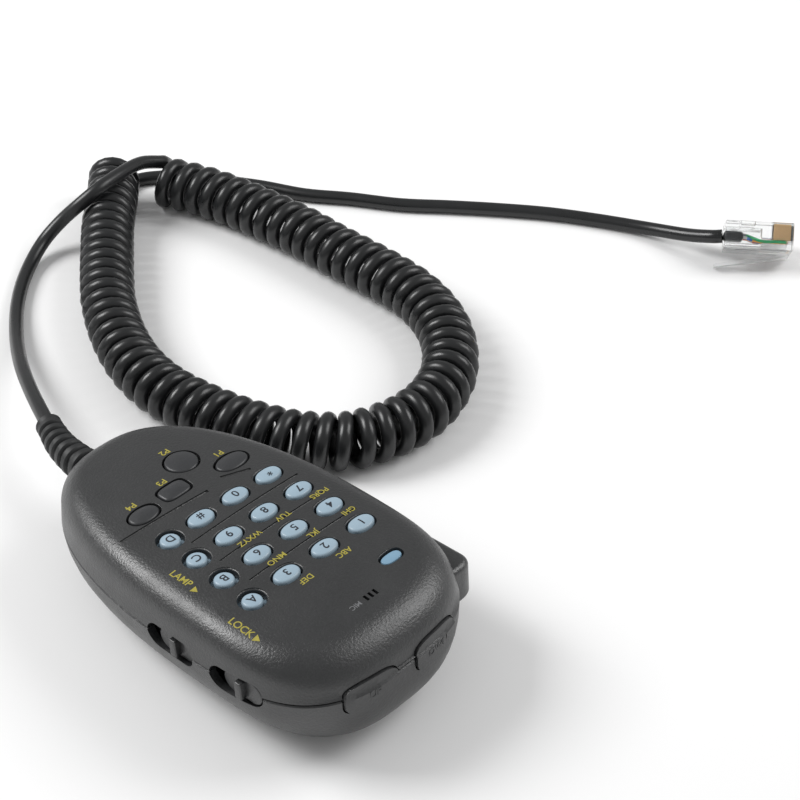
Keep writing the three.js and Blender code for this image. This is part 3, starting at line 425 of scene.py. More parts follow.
# The latch: a thin springy arm, broad at the nose and narrow at the thumb.
LATCH_NOSE, LATCH_THUMB = PLUG_LENGTH - 0.8, -2.4
LATCH_NOSE_DROP, LATCH_THUMB_DROP = 0.3, 4.3
LATCH_NOSE_WIDTH, LATCH_THUMB_WIDTH = 3.2, 3.0
LATCH_THICK = 1.1
latch_form = bmesh.new()
bmesh.ops.create_cube(latch_form, size=1)
for corner in latch_form.verts:
    at_nose = corner.co.x > 0
    top = -half_height - (LATCH_NOSE_DROP if at_nose else LATCH_THUMB_DROP)
    width = LATCH_NOSE_WIDTH if at_nose else LATCH_THUMB_WIDTH
    corner.co = (
        LATCH_NOSE if at_nose else LATCH_THUMB,
        math.copysign(width / 2, corner.co.y),
        top if corner.co.z > 0 else top - LATCH_THICK,
    )
bmesh.ops.bevel(
    latch_form, geom=latch_form.edges[:], offset=0.25, segments=3, profile=0.5, affect="EDGES",
    material=-1,
)
plug_latch = piece(
    "clear_plug_latch", latch_form, [clear_polycarbonate], IN_PLUG, "plug_latch_body",
    ["plug_latch"],
)

# ---------- housing form ----------
# Both shells share one outline, broad near the top end and narrow at the cable end. They are
# drawn lying on their flat back, and then tilted until the hanger stud and the end of the rear
# shell rest on the surface.
WIDTH = 60.6
CENTRE_X = -0.9
WIDEST_Y = 22
TOP_REACH, TAIL_REACH = 32.8, 71.8
TOP_SQUARENESS, TAIL_SQUARENESS = 2.85, 2.55
FACE_Z, PARTING_Z = 28.1, 15.5
DRAFT = 0.5
SIDE_ROUND, TOP_ROUND = 6, 9
REAR_SIDE_INSET, REAR_TOP_INSET, REAR_TAIL_INSET = 9.5, 6.5, 8.5
REAR_SIDE_POWER, REAR_END_POWER = 1.8, 2.5
WALL = 2
PARTING_HALF_LINE, PARTING_EDGE = 0.15, 0.3
AROUND = 160
TOP_Y, TAIL_Y = WIDEST_Y + TOP_REACH, WIDEST_Y - TAIL_REACH
STUD_Y, STUD_RADIUS, STUD_HEIGHT = 28, 6, 4
TILT = math.atan(STUD_HEIGHT / (STUD_Y - STUD_RADIUS - (TAIL_Y + REAR_TAIL_INSET)))
IN_MIC = Matrix.Translation((2.0083, -1.9665, 2.6046)) @ Matrix.Rotation(TILT, 4, "X")


def signed_power(value, power):
    return math.copysign(abs(value) ** power, value)


def crown_z(x, y):
    return FACE_Z - 0.0014 * x * x - 0.001 * y * y


def outline(turn, side, top, tail, z=0.0):
    """A point of the outline, drawn in at its sides, top end and cable end."""
    up = math.sin(turn) >= 0
    power = TOP_SQUARENESS if up else TAIL_SQUARENESS
    reach = TOP_REACH - top if up else TAIL_REACH - tail
    x = CENTRE_X + (WIDTH / 2 - side) * signed_power(math.cos(turn), 2 / power)
    return Vector((x, WIDEST_Y + reach * signed_power(math.sin(turn), 2 / power), z))


def half_width_at(y):
    up = y >= WIDEST_Y
    power = TOP_SQUARENESS if up else TAIL_SQUARENESS
    share = min(1, abs(y - WIDEST_Y) / (TOP_REACH if up else TAIL_REACH))
    return WIDTH / 2 * (1 - share ** power) ** (1 / power)


def skin(rings):
    """A closed form drawn up through rings of points, each grown from the ring before it."""
    form = bmesh.new()
    bmesh.ops.create_circle(form, cap_ends=True, segments=len(rings[0]), radius=1)
    cap = form.faces[:][0]
    for index, ring in enumerate(rings):
        if index:
            cap = grown(form, cap, index == 1)
        for vert, place in zip(cap.verts, ring):
            vert.co = place
    bmesh.ops.recalc_face_normals(form, faces=form.faces[:])
    return form


def all_round(place, count=AROUND):
    return [place((i + 0.5) / count * 2 * math.pi) for i in range(count)]


def front_form(wall, bottom, edge=0.0):
    """The front shell's outer form, or its hollow one wall further in."""
    rings = []
    if edge:
        rings.append(all_round(lambda turn: outline(turn, edge, edge, edge, bottom)))
    rings.append(all_round(lambda turn: outline(turn, wall, wall, wall, bottom + edge)))
    for step in range(9):
        angle = step / 8 * math.pi / 2

        def place(turn):
            inward = 1 - math.cos(angle)
            top_share = max(0, math.sin(turn)) ** 2
            side = SIDE_ROUND - wall
            top = TOP_ROUND - wall
            inset = wall + DRAFT + side * inward
            point = outline(turn, inset, wall + DRAFT + top * inward, inset)
            drop = (side + (top - side) * top_share) * (1 - math.sin(angle))
            point.z = crown_z(point.x, point.y) - wall - drop
            return point
        rings.append(all_round(place))
    for share in (0.9, 0.75, 0.6, 0.45, 0.3, 0.15):
        def place(turn):
            inset = wall + DRAFT + SIDE_ROUND
            point = outline(turn, inset, wall + DRAFT + TOP_ROUND, inset)
            x, y = point.x * share, point.y * share
            return Vector((x, y, crown_z(x, y) - wall))
        rings.append(all_round(place))
    return skin(rings)


def dished(height, power):
    """How far the rear shell still leans in at a share of its height, from 1 at its back to 0."""
    return 1 - (1 - (1 - height) ** power) ** (1 / power)


def rear_form(wall, top, edge=0.0):
    """The rear shell's outer form, or its hollow."""
    rings = []
    for height in (0, 0.01, 0.03, 0.08, 0.15, 0.25, 0.38, 0.55, 0.75, 1):
        side, high, low = [
            wall + (inset - wall) * dished(height, power)
            for inset, power in (
                (REAR_SIDE_INSET, REAR_SIDE_POWER), (REAR_TOP_INSET, REAR_END_POWER),
                (REAR_TAIL_INSET, REAR_END_POWER),
            )
        ]
        z = wall + height * (PARTING_Z - wall)
        if z < top - 2 * edge:
            rings.append(all_round(lambda turn: outline(turn, side, high, low, z)))
    rings.append(all_round(lambda turn: outline(turn, wall, wall, wall, top - edge)))
    if edge:
        rings.append(all_round(lambda turn: outline(turn, edge, edge, edge, top)))
    return skin(rings)


def oval(half_width, half_height, power, z, count=48):
    """A ring that is round at power 2 and squarer above it."""
    return [
        Vector((
            half_width * signed_power(math.cos(turn), 2 / power),
            half_height * signed_power(math.sin(turn), 2 / power), z,
        ))
        for turn in (i / count * 2 * math.pi for i in range(count))
    ]


def moved(form, x=0.0, y=0.0, z=0.0):
    form.transform(Matrix.Translation((x, y, z)))
    return form


def along_x(form):
    """Turns a form drawn about +Z so that its axis points along +X and its own x along +Y."""
    form.transform(Matrix(((0, 0, 1, 0), (1, 0, 0, 0), (0, 1, 0, 0), (0, 0, 0, 1))))
    return form


def along_y(form):
    form.transform(Matrix(((-1, 0, 0, 0), (0, 0, 1, 0), (0, 1, 0, 0), (0, 0, 0, 1))))
    return form


def rod(radius, bottom, top, x, y, sides=32):
    form = bmesh.new()
    bmesh.ops.create_cone(
        form, cap_ends=True, segments=sides, radius1=radius, radius2=radius, depth=top - bottom,
        matrix=Matrix.Translation((x, y, (bottom + top) / 2)),
    )
    return form


# Injection-moulded ABS, charcoal. The half-millimetre grains of its spark-eroded texture break
# up the light, and catch it on the rounded edges.
charcoal_abs = moulded(
    "spark_eroded_charcoal_abs", "#222324", 0.36, 0.6, 0.12, mottle=0.2, Specular_IOR_Level=0.85,
)

# Openings in the wall that both shells share: the cable, the up and down keys, the slide
# buttons and the talk lever.
END_KEY_X, END_KEY_Z = 9.8, 14.4
END_KEY_HALF, END_KEY_POWER = (7.1, 3.8), 3.2
SLIDE_PLACES = {"lamp": 10.3, "lock": 31}
SLIDE_HALF = (7.6, 3.3)
SLIDE_Z = PARTING_Z - 0.3
TALK_LOW, TALK_HIGH = (6, 7.6), (44.5, 18)
CABLE_HOLE_RADIUS = 4.9
GAP, TALK_GAP = 0.3, 0.6


def obround(half_length, half_height, bottom, top, count=48):
    """A straight-sided form with half-round ends."""
    def ring(z):
        points = []
        for i in range(count):
            turn = (i + 0.5) / count * 2 * math.pi
            shift = math.copysign(half_length - half_height, math.cos(turn))
            x = shift + half_height * math.cos(turn)
            points.append(Vector((x, half_height * math.sin(turn), z)))
        return points
    return skin([ring(bottom), ring(top)])


def wall_openings():
    yield moved(along_y(rod(CABLE_HOLE_RADIUS, -4, 4, 0, 0)), 0, TAIL_Y + 1, PARTING_Z)
    for side in (1, -1):
        half_width, half_height = [half + GAP for half in END_KEY_HALF]
        hole = skin([oval(half_width, half_height, END_KEY_POWER, z) for z in (-8, 1)])
        yield moved(along_y(hole), side * END_KEY_X, TOP_Y, END_KEY_Z)
    for y in SLIDE_PLACES.values():
        yield moved(along_x(obround(*SLIDE_HALF, -6, 2)), CENTRE_X + half_width_at(y), y, SLIDE_Z)
    yield block(
        (CENTRE_X - WIDTH / 2 - 2, TALK_LOW[0] - TALK_GAP, TALK_LOW[1] - TALK_GAP),
        (CENTRE_X - WIDTH / 2 + 9, TALK_HIGH[0] + TALK_GAP, TALK_HIGH[1] + TALK_GAP),
    )


# ---------- rear shell ----------
# A dished shell with a flat back. Four screws pass up through its bosses into the front shell.
CASE_SCREWS = [(-7.5, 34), (7.5, 34), (-6.5, -34), (6.5, -34)]
SCREW_PAD_RADIUS, SCREW_PAD_TOP = 4.7, 4.3
SCREW_HEAD_HOLE, SCREW_HEAD_SINK = 2.9, 2.3
SCREW_HOLE = 1.5
STUD_HOLE = 2.7
rear_outer = rear_form(0, PARTING_Z - PARTING_HALF_LINE, PARTING_EDGE)
rear_shell = worked(
    worked(rear_outer, [rear_form(WALL, PARTING_Z + 1), *wall_openings()]),
    [rod(SCREW_PAD_RADIUS, 1, SCREW_PAD_TOP, x, y) for x, y in CASE_SCREWS], "UNION",
)
rear_shell = worked(rear_shell, [
    *[rod(SCREW_HEAD_HOLE, -1, SCREW_HEAD_SINK, x, y) for x, y in CASE_SCREWS],
    *[rod(SCREW_HOLE, 0, 6, x, y) for x, y in CASE_SCREWS],
    rod(STUD_HOLE, -1, 3, 0, STUD_Y),
])
piece(
    "rear_shell_moulding", rear_shell, [charcoal_abs], IN_MIC, "housing",
    ["rear_shell"],
)

# ---------- front shell ----------
# It carries the keypad: each key stands in its own well, and shallow lines are moulded round the
# rows. Three slots let sound in, and a small window shows the indicator.
ROW_Y, ROW_PITCH, ROW_NARROWING = 24, 9.45, 0.0324
COLUMN_X = (-18.4, -6.7, 5.1, 15.6)
DIGIT = {"half": (3.4, 2.3), "power": 2.3, "recess": -0.7, "around": 0.5}
LETTER = {"half": (2.4, 2.4), "power": 2, "recess": -0.3, "around": 0.9}
KEY_ROWS = ("123A", "456B", "789C", "*0#D")
FUNCTION_KEYS = {
    "p1_key": {"x": -14.8, "y": -15, "half": (4.4, 2.8), "power": 2.2},
    "p2_key": {"x": -7.1, "y": -24.2, "half": (4.1, 4.1), "power": 2},
    "p3_key": {"x": 1.5, "y": -17.1, "half": (3.9, 2.6), "power": 3.6},
    "p4_key": {"x": 11.9, "y": -15.8, "half": (4, 2.65), "power": 2.2},
}
LENS = {"x": -15, "y": 36.5, "half": (2.8, 1.45), "power": 2.6, "around": 0.5}
LEGEND_FLARE, FUNCTION_FLARE, LENS_FLARE = 0.35, 0.12, 0.2
PORT_X, PORT_Y, PORT_HALF = (-4.25, -2.85, -1.45), 41.9, (0.35, 0.85)
SCREW_POST_RADIUS = 3.1
# Each line's start, end, width and depth.
GROOVES = [
    ((21.5, -12.7), (-3.3, -10.6), 0.9, 0.55), ((-8.6, -12.1), (-15.6, -9.2), 0.9, 0.5),
    *[((-21.5, y), (11.8, y), 0.5, 0.5) for y in (19.3, 9.8, 0.4)],
]

keys = []
for row, legends in enumerate(KEY_ROWS):
    for column, legend in enumerate(legends):
        node = {"*": "star", "#": "hash"}.get(legend, legend.lower())
        x = COLUMN_X[column] * (1 - ROW_NARROWING * row)
        kind = LETTER if column == 3 else DIGIT
        y = ROW_Y - ROW_PITCH * row
        keys.append({"node": f"key_{node}", "legend": legend, "x": x, "y": y, **kind})
for node, form in FUNCTION_KEYS.items():
    keys.append({"node": node, "legend": "", "recess": -0.5, "around": 0.5, **form})


def well(key, flare):
    """What is cut away round a key, its mouth flared by a small soft edge."""
    face = crown_z(key["x"], key["y"])
    a, b = [half + key["around"] for half in key["half"]]
    rings = [oval(a, b, key["power"], z) for z in (face - WALL - 1, face - flare)]
    for step in range(1, 5):
        angle = step / 4 * math.pi / 2
        out = flare * (1 - math.cos(angle))
        rings.append(oval(a + out, b + out, key["power"], face - flare + flare * math.sin(angle)))
    rings.append(oval(a + flare, b + flare, key["power"], face + 1.5))
    return moved(skin(rings), key["x"], key["y"])


def groove(start, end, width, depth):
    """The cutter for a shallow round-bottomed line in the face, from start to end."""
    radius = (width * width / 4 + depth * depth) / (2 * depth)
    line = []
    for step in range(13):
        x, y = [a + (b - a) * step / 12 for a, b in zip(start, end)]
        line.append(Vector((x, y, crown_z(x, y) + radius - depth)))
    return tube(line, [radius] * len(line), 16)


front_outer = front_form(0, PARTING_Z + PARTING_HALF_LINE, PARTING_EDGE)
front_surface = BVHTree.FromBMesh(front_outer)
front_shell = worked(
    worked(front_outer, [front_form(WALL, PARTING_Z - 1), *wall_openings()]),
    [
        rod(SCREW_POST_RADIUS, SCREW_PAD_TOP + GAP, crown_z(x, y) - 1, x, y)
        for x, y in CASE_SCREWS
    ], "UNION",
)
port_x, port_y = PORT_HALF
front_shell = worked(front_shell, [
    *[rod(SCREW_HOLE, 0, 22, x, y) for x, y in CASE_SCREWS],
    *[well(key, LEGEND_FLARE if key["legend"] else FUNCTION_FLARE) for key in keys],
    well(LENS, LENS_FLARE),
    *[block((x - port_x, PORT_Y - port_y, 20), (x + port_x, PORT_Y + port_y, 30)) for x in PORT_X],
    *[groove(*line) for line in GROOVES],
])
piece(
    "front_shell_moulding", front_shell, [charcoal_abs], IN_MIC, "housing",
    ["front_shell"],
)

# ---------- inside the housing ----------
# A green fibreglass board, the silicone keypad mat, the microphone capsule in its rubber boot,
# the switches, the cable's connector and the zinc-plated screws keep their plain forms.
# Solder mask shines a little, silicone is dull, and the drawn and plated metals are satin.
INSIDE = [
    (moulded("green_solder_mask", "#1f5a3a", 0.42, 0.9, 0.01, mottle=0.12), ["circuit_board"]),
    (moulded("grey_silicone", "#8b8f92", 0.7, 0.4, 0.015), ["keypad_mat"]),
    (moulded("drawn_aluminium_can", "#b8babb", 0.32, 0.3, 0.006, 1.0), ["mic_capsule"]),
    (moulded("black_silicone_boot", "#1b1b1c", 0.62, 0.4, 0.02), ["mic_boot"]),
    (moulded("black_glass_filled_nylon", "#202122", 0.5, 0.35, 0.02, mottle=0.12), [
        "up_switch", "down_switch", "talk_switch", "lamp_switch", "lock_switch", "hanger_stud",
    ]),
    (moulded("natural_nylon", "#e8e4d8", 0.48, 0.8, 0.01, mottle=0.03), ["cord_connector"]),
    (moulded("zinc_plated_steel", "#b4b6b8", 0.32, 0.5, 0.006, 1.0, 0.1), [
        "case_screw_1", "case_screw_2", "case_screw_3", "case_screw_4", "board_screw_1",
        "board_screw_2", "stud_screw",
    ]),
]
for material, nodes in INSIDE:
    for node in nodes:
        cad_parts[node].data.materials.clear()
        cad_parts[node].data.materials.append(material)

# ---------- keys ----------
# The digit and letter keys are light grey-blue ABS caps with printed dark legends; the four
# function keys are dark. Each slides in its well and is pushed back by the mat under it.
FLANGE, FLANGE_THICK, KEY_DROP = 0.8, 0.8, 0.6
KEY_ROUND = 0.65
LEGEND_DOME, FUNCTION_DOME = 0.25, 0.35
LEGEND_HEIGHT = 2.2


def lettering(words, height, depth=0.03):
    """Printed words as thin flat solids, centred on the origin and reading along +X."""
    text = bpy.data.curves.new("words", "FONT")
    text.body = words
    text.size = height / 0.72
    text.align_x = "CENTER"
    text.align_y = "CENTER"
    text.extrude = depth / 2
    text.offset = 0.012 * text.size
    text.resolution_u = 4
    writing = bpy.data.objects.new("words", text)
    bpy.context.scene.collection.objects.link(writing)
    finished = writing.evaluated_get(bpy.context.evaluated_depsgraph_get())
    mesh = bpy.data.meshes.new_from_object(finished)
    form = bmesh.new()
    form.from_mesh(mesh)
    bpy.data.objects.remove(writing)
    bpy.data.meshes.remove(mesh)
    bmesh.ops.remove_doubles(form, verts=form.verts[:], dist=1e-5)
    return form


def laid_on(form, surface_tree, lift=0.02, axis=2):
    """Drops each point of a flat print along one axis onto the surface behind it."""
    for _ in range(4):
        long_edges = [edge for edge in form.edges if edge.calc_length() > 0.5]
        bmesh.ops.subdivide_edges(form, edges=long_edges, cuts=1)
    bmesh.ops.triangulate(form, faces=form.faces[:])
    inward = Vector((0, 0, 0))
    inward[axis] = -1
    for vert in form.verts:
        start = vert.co.copy()
        start[axis] = 70
        hit = surface_tree.ray_cast(start, inward)[0]
        if hit is not None:
            vert.co[axis] += hit[axis] + lift
    return form


def key_form(key, dome):
    """A key's cap with rounded edges and a domed top, over the flange that holds it in."""
    face = crown_z(key["x"], key["y"])
    flange_top = face - WALL - KEY_DROP
    cap_top = face - key["recess"]
    a, b = key["half"]
    wide, high = a + key["around"] + FLANGE, b + key["around"] + FLANGE
    power = key["power"]
    rings = [oval(wide, high, power, z) for z in (flange_top - FLANGE_THICK, flange_top)]
    rings.append(oval(a, b, power, flange_top))
    for step in range(6):
        angle = step / 5 * math.pi / 2
        inward = KEY_ROUND * (1 - math.cos(angle))
        z = cap_top - KEY_ROUND - dome + KEY_ROUND * math.sin(angle)
        rings.append(oval(a - inward, b - inward, power, z))
    for share in (0.8, 0.6, 0.4, 0.2):
        z = cap_top - dome * share * share
        rings.append(oval((a - KEY_ROUND) * share, (b - KEY_ROUND) * share, power, z))
    return moved(skin(rings), key["x"], key["y"])


# Finer moulded than the shells: the light caps look smooth and satin, the dark ones slightly
# rough, and the print on them is dull.
blue_keycap = moulded("moulded_grey_blue_abs", "#96abb9", 0.34, 0.7, 0.006, mottle=0.025)
dark_keycap = moulded("moulded_dark_abs", "#313234", 0.38, 0.5, 0.02, mottle=0.12)
dark_print = moulded("dark_pad_print", "#20242c", 0.6, 0.15, 0.004, mottle=0.2)
for key in keys:
    digit = bool(key["legend"])
    form = key_form(key, LEGEND_DOME if digit else FUNCTION_DOME)
    if digit:
        legend = moved(lettering(key["legend"], LEGEND_HEIGHT), key["x"], key["y"])
        laid_on(legend, BVHTree.FromBMesh(form))
        for face in legend.faces:
            face.material_index = 1
        form = together([form, legend])
    piece(
        f"{key['node']}_cap", form, [blue_keycap, dark_print] if digit else [dark_keycap],
        IN_MIC, f"{key['node']}_body", [key["node"]],
    )

# ---------- printed labels ----------
# Yellow pad print on the face: the telephone letters over each digit key, and short names
# beside the function keys, the slide buttons and the microphone.
PRINT_HEIGHT, TELEPHONE_HEIGHT, MIC_HEIGHT = 1.9, 1.6, 1.3
TELEPHONE_UP, TELEPHONE_LEFT = 4.25, 0.6
# Each print's words, place, height and turn in degrees.
PRINTS = [
    ("LAMP", 21.2, 7.2, PRINT_HEIGHT, 90), ("LOCK", 22.9, 28.2, PRINT_HEIGHT, 90),
    ("P1", -14.8, -19.7, PRINT_HEIGHT, 0), ("P2", -7.1, -30.3, PRINT_HEIGHT, 0),
    ("P3", 1.5, -21.6, PRINT_HEIGHT, 0), ("P4", 11.9, -20.4, PRINT_HEIGHT, 0),
]
TELEPHONE_LETTERS = {
    "2": "ABC", "3": "DEF", "4": "GHI", "5": "JKL", "6": "MNO", "7": "PQRS", "8": "TUV",
    "9": "WXYZ",
}
for key in keys:
    if key["legend"] in TELEPHONE_LETTERS:
        word = TELEPHONE_LETTERS[key["legend"]]
        x, y = key["x"] - TELEPHONE_LEFT * len(word), key["y"] + TELEPHONE_UP
        PRINTS.append((word, x, y, TELEPHONE_HEIGHT, 0))


def print_on_face(words, x, y, height, turned):
    form = lettering(words, height)
    form.transform(Matrix.Translation((x, y, 0)) @ Matrix.Rotation(math.radians(turned), 4, "Z"))
    return laid_on(form, front_surface)


def arrowhead(x, y, size=1.1):
    """A small solid triangle that points to a slide button."""
    form = bmesh.new()
    bmesh.ops.create_cone(
        form, cap_ends=True, segments=3, radius1=size, radius2=size, depth=0.03,
        matrix=Matrix.Translation((x, y, 0)),
    )
    return laid_on(form, front_surface)


labels = together([
    *[print_on_face(*label) for label in PRINTS],
    arrowhead(21.7, 12.1), arrowhead(22.9, 32.9),
])
# Both inks are dull and a little uneven, as thin print over a rough face is.
piece(
    "face_labels", labels,
    [moulded("yellow_pad_print", "#a0963c", 0.6, 0.25, 0.004, mottle=0.22)],
    IN_MIC, "housing",
)
piece(
    "microphone_label", print_on_face("MIC", 1.9, PORT_Y, MIC_HEIGHT, 0),
    [moulded("faint_pad_print", "#6c6d6f", 0.6, 0.2, 0.004, mottle=0.2)],
    IN_MIC, "housing",
)

# ---------- indicator lens ----------
# A light pipe of clear pale blue acrylic, its polished face just under the shell's.
lens_face = crown_z(LENS["x"], LENS["y"])
a, b = LENS["half"]
LIGHT_PIPE_FOOT = 21.4
LENS_FLANGE_LOW, LENS_FLANGE_HIGH = lens_face - 3.4, lens_face - 2.6
lens_rings = [
    (-GAP, LIGHT_PIPE_FOOT), (-GAP, LENS_FLANGE_LOW),
    (FLANGE, LENS_FLANGE_LOW), (FLANGE, LENS_FLANGE_HIGH),
    (0, LENS_FLANGE_HIGH), (0, lens_face - 0.6), (-0.1, lens_face - 0.4), (-0.3, lens_face - GAP),
]
lens_form = skin([oval(a + grow, b + grow, LENS["power"], z) for grow, z in lens_rings])
piece(
    "indicator_light_pipe", moved(lens_form, LENS["x"], LENS["y"]),
    [moulded("pale_blue_acrylic", "#7b9db4", 0.16, 1.5, 0.004, mottle=0.03)],
    IN_MIC, "housing", ["indicator_lens"],
)

# ---------- up and down keys ----------
# Textured ABS keys that follow the end wall and stand a little proud of it, with their names
# moulded in low relief. Each pushes a switch behind the wall.
END_KEY_PROUD = 0.6
END_LETTER_HEIGHT, END_LETTER_RELIEF = 1.9, 0.2
flange_front = TOP_Y - WALL - TOP_ROUND * 0.4
flange_back = flange_front - FLANGE_THICK


def whole_form(grow):
    """Both shells' outer form in one, grown outwards, or inwards if less than nothing."""
    return worked(front_form(-grow, PARTING_Z), [rear_form(-grow, PARTING_Z)], "UNION")


proud_form = whole_form(END_KEY_PROUD)
hollow_form = whole_form(-WALL - GAP)
for name, word, side in (("up", "UP", 1), ("down", "DWN", -1)):
    place = (side * END_KEY_X, 0, END_KEY_Z)
    cap = skin([oval(*END_KEY_HALF, END_KEY_POWER, z) for z in (flange_back, TOP_Y + 2)])
    cap = worked(moved(along_y(cap), *place), [proud_form.copy()], "INTERSECT")
    a, b = [half + FLANGE for half in END_KEY_HALF]
    rim = skin([oval(a, b, END_KEY_POWER, z) for z in (flange_back, flange_front)])
    rim = worked(moved(along_y(rim), *place), [hollow_form.copy()], "INTERSECT")
    raised = moved(along_y(lettering(word, END_LETTER_HEIGHT, END_LETTER_RELIEF)), *place)
    laid_on(raised, BVHTree.FromBMesh(cap), 0, axis=1)
    piece(
        f"{name}_key_cap", together([worked(cap, [rim], "UNION"), raised]), [charcoal_abs], IN_MIC,
        f"{name}_key_body", [f"{name}_key"],
    )

# ---------- press-to-talk lever ----------
# Textured ABS, swinging about its cable end. A thin lip all round it stays behind the wall, and
# shallow grooves across its thumb end give a grip.
TALK_PROUD, TALK_TAIL_PROUD = 2.4, 0.9
TALK_CORNER = 4
TALK_ROUND = 1.6
LIP, LIP_THICK = 0.6, 1
GRIP_PLACES, GRIP_HALF, GRIP_DEPTH, GRIP_END = range(29, 40, 2), 0.35, 0.35, 2


def left_side_at(y):
    return CENTRE_X - half_width_at(y)


def bent(start, control, end, steps=12):
    """Points along a quadratic curve, without its start."""
    for step in range(1, steps + 1):
        t = step / steps
        yield [
            a * (1 - t) ** 2 + 2 * b * t * (1 - t) + c * t * t
            for a, b, c in zip(start, control, end)
        ]


(tail_end, low), (thumb_end, high) = TALK_LOW, TALK_HIGH
outer = CENTRE_X - WIDTH / 2 - TALK_PROUD
thumb_corner = (left_side_at(thumb_end) - TALK_CORNER / 2, thumb_end)
thumb_side = (outer, thumb_end - TALK_CORNER)
tail_side = (outer, WIDEST_Y)
tail_corner = (left_side_at(tail_end) - TALK_TAIL_PROUD, tail_end)
plan = [
    (left_side_at(tail_end) + WALL + DRAFT + LIP_THICK, tail_end),
    (left_side_at(thumb_end) + WALL + DRAFT + LIP_THICK + GAP, thumb_end),
    thumb_corner, *bent(thumb_corner, (outer, thumb_end), thumb_side),
    tail_side, *bent(tail_side, (outer, tail_end + TALK_CORNER), tail_corner),
]
lever = skin([[Vector((x, y, z)) for x, y in plan] for z in (low, high)])
caps = [face for face in lever.faces if abs(face.normal.z) > 0.9]
bmesh.ops.bevel(
    lever, geom=list({edge for face in caps for edge in face.edges}), offset=TALK_ROUND, segments=5,
    profile=0.5, affect="EDGES", material=-1,
)
lip_space = block(
    (-WIDTH, tail_end - TALK_GAP - LIP, low - TALK_GAP - LIP),
    (-WIDTH / 4, thumb_end + TALK_GAP + LIP, high + TALK_GAP + LIP),
)
lip_shell = worked(
    worked(lip_space, [hollow_form.copy()], "INTERSECT"), [whole_form(-WALL - GAP - LIP_THICK)],
)
grips = [
    block(
        (outer - 1, y - GRIP_HALF, low + GRIP_END),
        (outer + GRIP_DEPTH, y + GRIP_HALF, high - GRIP_END), 0.1,
    )
    for y in GRIP_PLACES
]
piece(
    "talk_lever_moulding", worked(worked(lever, grips), [lip_shell], "UNION"), [charcoal_abs],
    IN_MIC, "talk_lever_body", ["talk_lever"],
)

# ---------- lamp and lock slide buttons ----------
# Textured ABS buttons with half-round ends, sunk in their slots, each with one ridge for a nail.
# A flange behind the wall holds each one, and it slides along the slot.
BUTTON_HALF_LENGTH, BUTTON_SINK, BUTTON_TRAVEL = 5.9, 1.3, 2.6
BUTTON_ROUND = 0.4
RIDGE, RIDGE_HALF_HEIGHT = 2, 2.3
slot_length, slot_height = SLIDE_HALF
for name, y in SLIDE_PLACES.items():
    flange_length, flange_height = slot_length + FLANGE, slot_height + FLANGE / 2
    lean = REAR_SIDE_INSET * dished((SLIDE_Z - flange_height) / PARTING_Z, REAR_SIDE_POWER)
    narrowest = min(
        half_width_at(y - flange_length - BUTTON_TRAVEL), half_width_at(y + flange_length),
    )
    flange_face = CENTRE_X + narrowest - lean - WALL - GAP
    face = CENTRE_X + half_width_at(y) - BUTTON_SINK
    button_y = y + slot_length - BUTTON_HALF_LENGTH - GAP
    button = obround(BUTTON_HALF_LENGTH, slot_height - GAP, flange_face - FLANGE_THICK, face)
    rim = [edge for edge in button.edges if all(vert.co.z > face - 0.01 for vert in edge.verts)]
    bmesh.ops.bevel(
        button, geom=rim, offset=BUTTON_ROUND, segments=3, profile=0.5, affect="EDGES",
        material=-1,
    )
    flange = obround(flange_length, flange_height, flange_face - FLANGE_THICK, flange_face)
    ridge = block(
        (flange_face - FLANGE_THICK, button_y - RIDGE / 2, SLIDE_Z - RIDGE_HALF_HEIGHT),
        (face + BUTTON_SINK + GAP, button_y + RIDGE / 2, SLIDE_Z + RIDGE_HALF_HEIGHT), 0.3,
    )
    form = worked(
        moved(along_x(flange), 0, y, SLIDE_Z),
        [moved(along_x(button), 0, button_y, SLIDE_Z), ridge], "UNION",
    )
    piece(
        f"{name}_slide_button", form, [charcoal_abs], IN_MIC, f"{name}_slider_body",
        [f"{name}_slider"],
    )

# ---------- strain relief ----------
# A soft PVC moulding on the cord, held by a collar behind the wall, with seven ribs that let it
# bend. It droops to the user's left.
RIBS, RIB_DEPTH = 7, 0.8
ROOT_RADIUS, TIP_RADIUS = 4.6, 3.4
COLLAR_RADIUS, COLLAR_THICK, COLLAR_ROUND, COLLAR_STAND_OFF = 5.2, 2, 0.3, 0.78
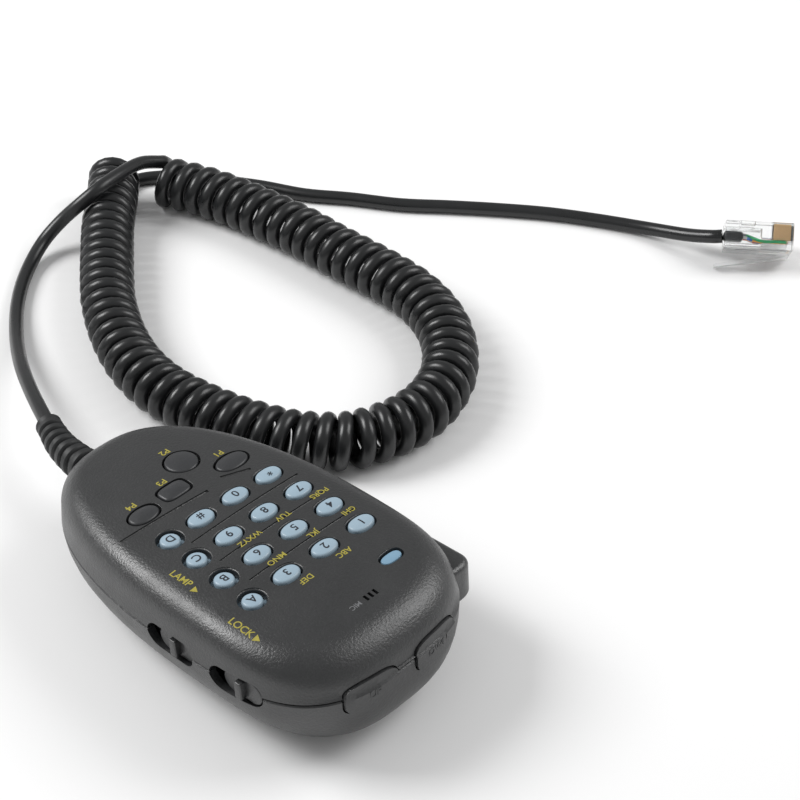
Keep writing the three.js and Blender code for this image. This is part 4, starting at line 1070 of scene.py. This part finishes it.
# One rib and the gap after it: a share of the pitch, and how far in towards the core.
RIB_STEPS = (
    (0, 1), (0.3, 1), (0.36, 0.4), (0.45, 0), (0.86, 0), (0.93, 0.2), (0.96, 0.5),
)
collar_y = TAIL_Y + WALL + COLLAR_STAND_OFF + COLLAR_THICK
relief_line = smooth_line([Vector(place) for place in (
    (0, collar_y, PARTING_Z), (0, TAIL_Y, PARTING_Z), (-0.3, TAIL_Y - 7, PARTING_Z),
    (-1.9, TAIL_Y - 15.5, PARTING_Z - 0.2), (-5.4, TAIL_Y - 24.8, PARTING_Z - 0.4),
)], 24)
reach = [0]
for a, b in zip(relief_line, relief_line[1:]):
    reach.append(reach[-1] + (b - a).length)


def along_relief(distance):
    """The point at a distance along the strain relief's centre line, from its collar."""
    index = next(i for i, value in enumerate(reach) if value >= min(distance, reach[-1]))
    index = max(index, 1)
    share = (distance - reach[index - 1]) / (reach[index] - reach[index - 1])
    return relief_line[index - 1].lerp(relief_line[index], share)


stations = [
    (0, COLLAR_RADIUS - COLLAR_ROUND), (COLLAR_ROUND, COLLAR_RADIUS),
    (COLLAR_THICK - COLLAR_ROUND, COLLAR_RADIUS), (COLLAR_THICK, COLLAR_RADIUS - COLLAR_ROUND),
    (COLLAR_THICK + 0.01, ROOT_RADIUS),
]
first_rib = collar_y - TAIL_Y + 2
pitch = (reach[-1] * 0.95 - first_rib) / RIBS
for rib in range(RIBS):
    start = first_rib + rib * pitch
    crest = ROOT_RADIUS + (TIP_RADIUS - ROOT_RADIUS) * rib / (RIBS - 1)
    for share, depth in RIB_STEPS:
        stations.append((start + pitch * share, crest - RIB_DEPTH * depth))
stations += [(reach[-1] - 0.4, TIP_RADIUS), (reach[-1] - 0.01, TIP_RADIUS - 0.3)]
relief_form = tube(
    [along_relief(distance) for distance, _ in stations], [radius for _, radius in stations], 32,
)
# Softer and duller than the cord, so that its ribs show as broad soft bands.
relief = piece(
    "ribbed_strain_relief", relief_form,
    [moulded("moulded_black_pvc", "#1e1f20", 0.48, 0.6, 0.02)],
    IN_MIC, "housing", ["strain_relief"],
)

tuple(Vector(LEAD_ROUTE[0]) * MM)
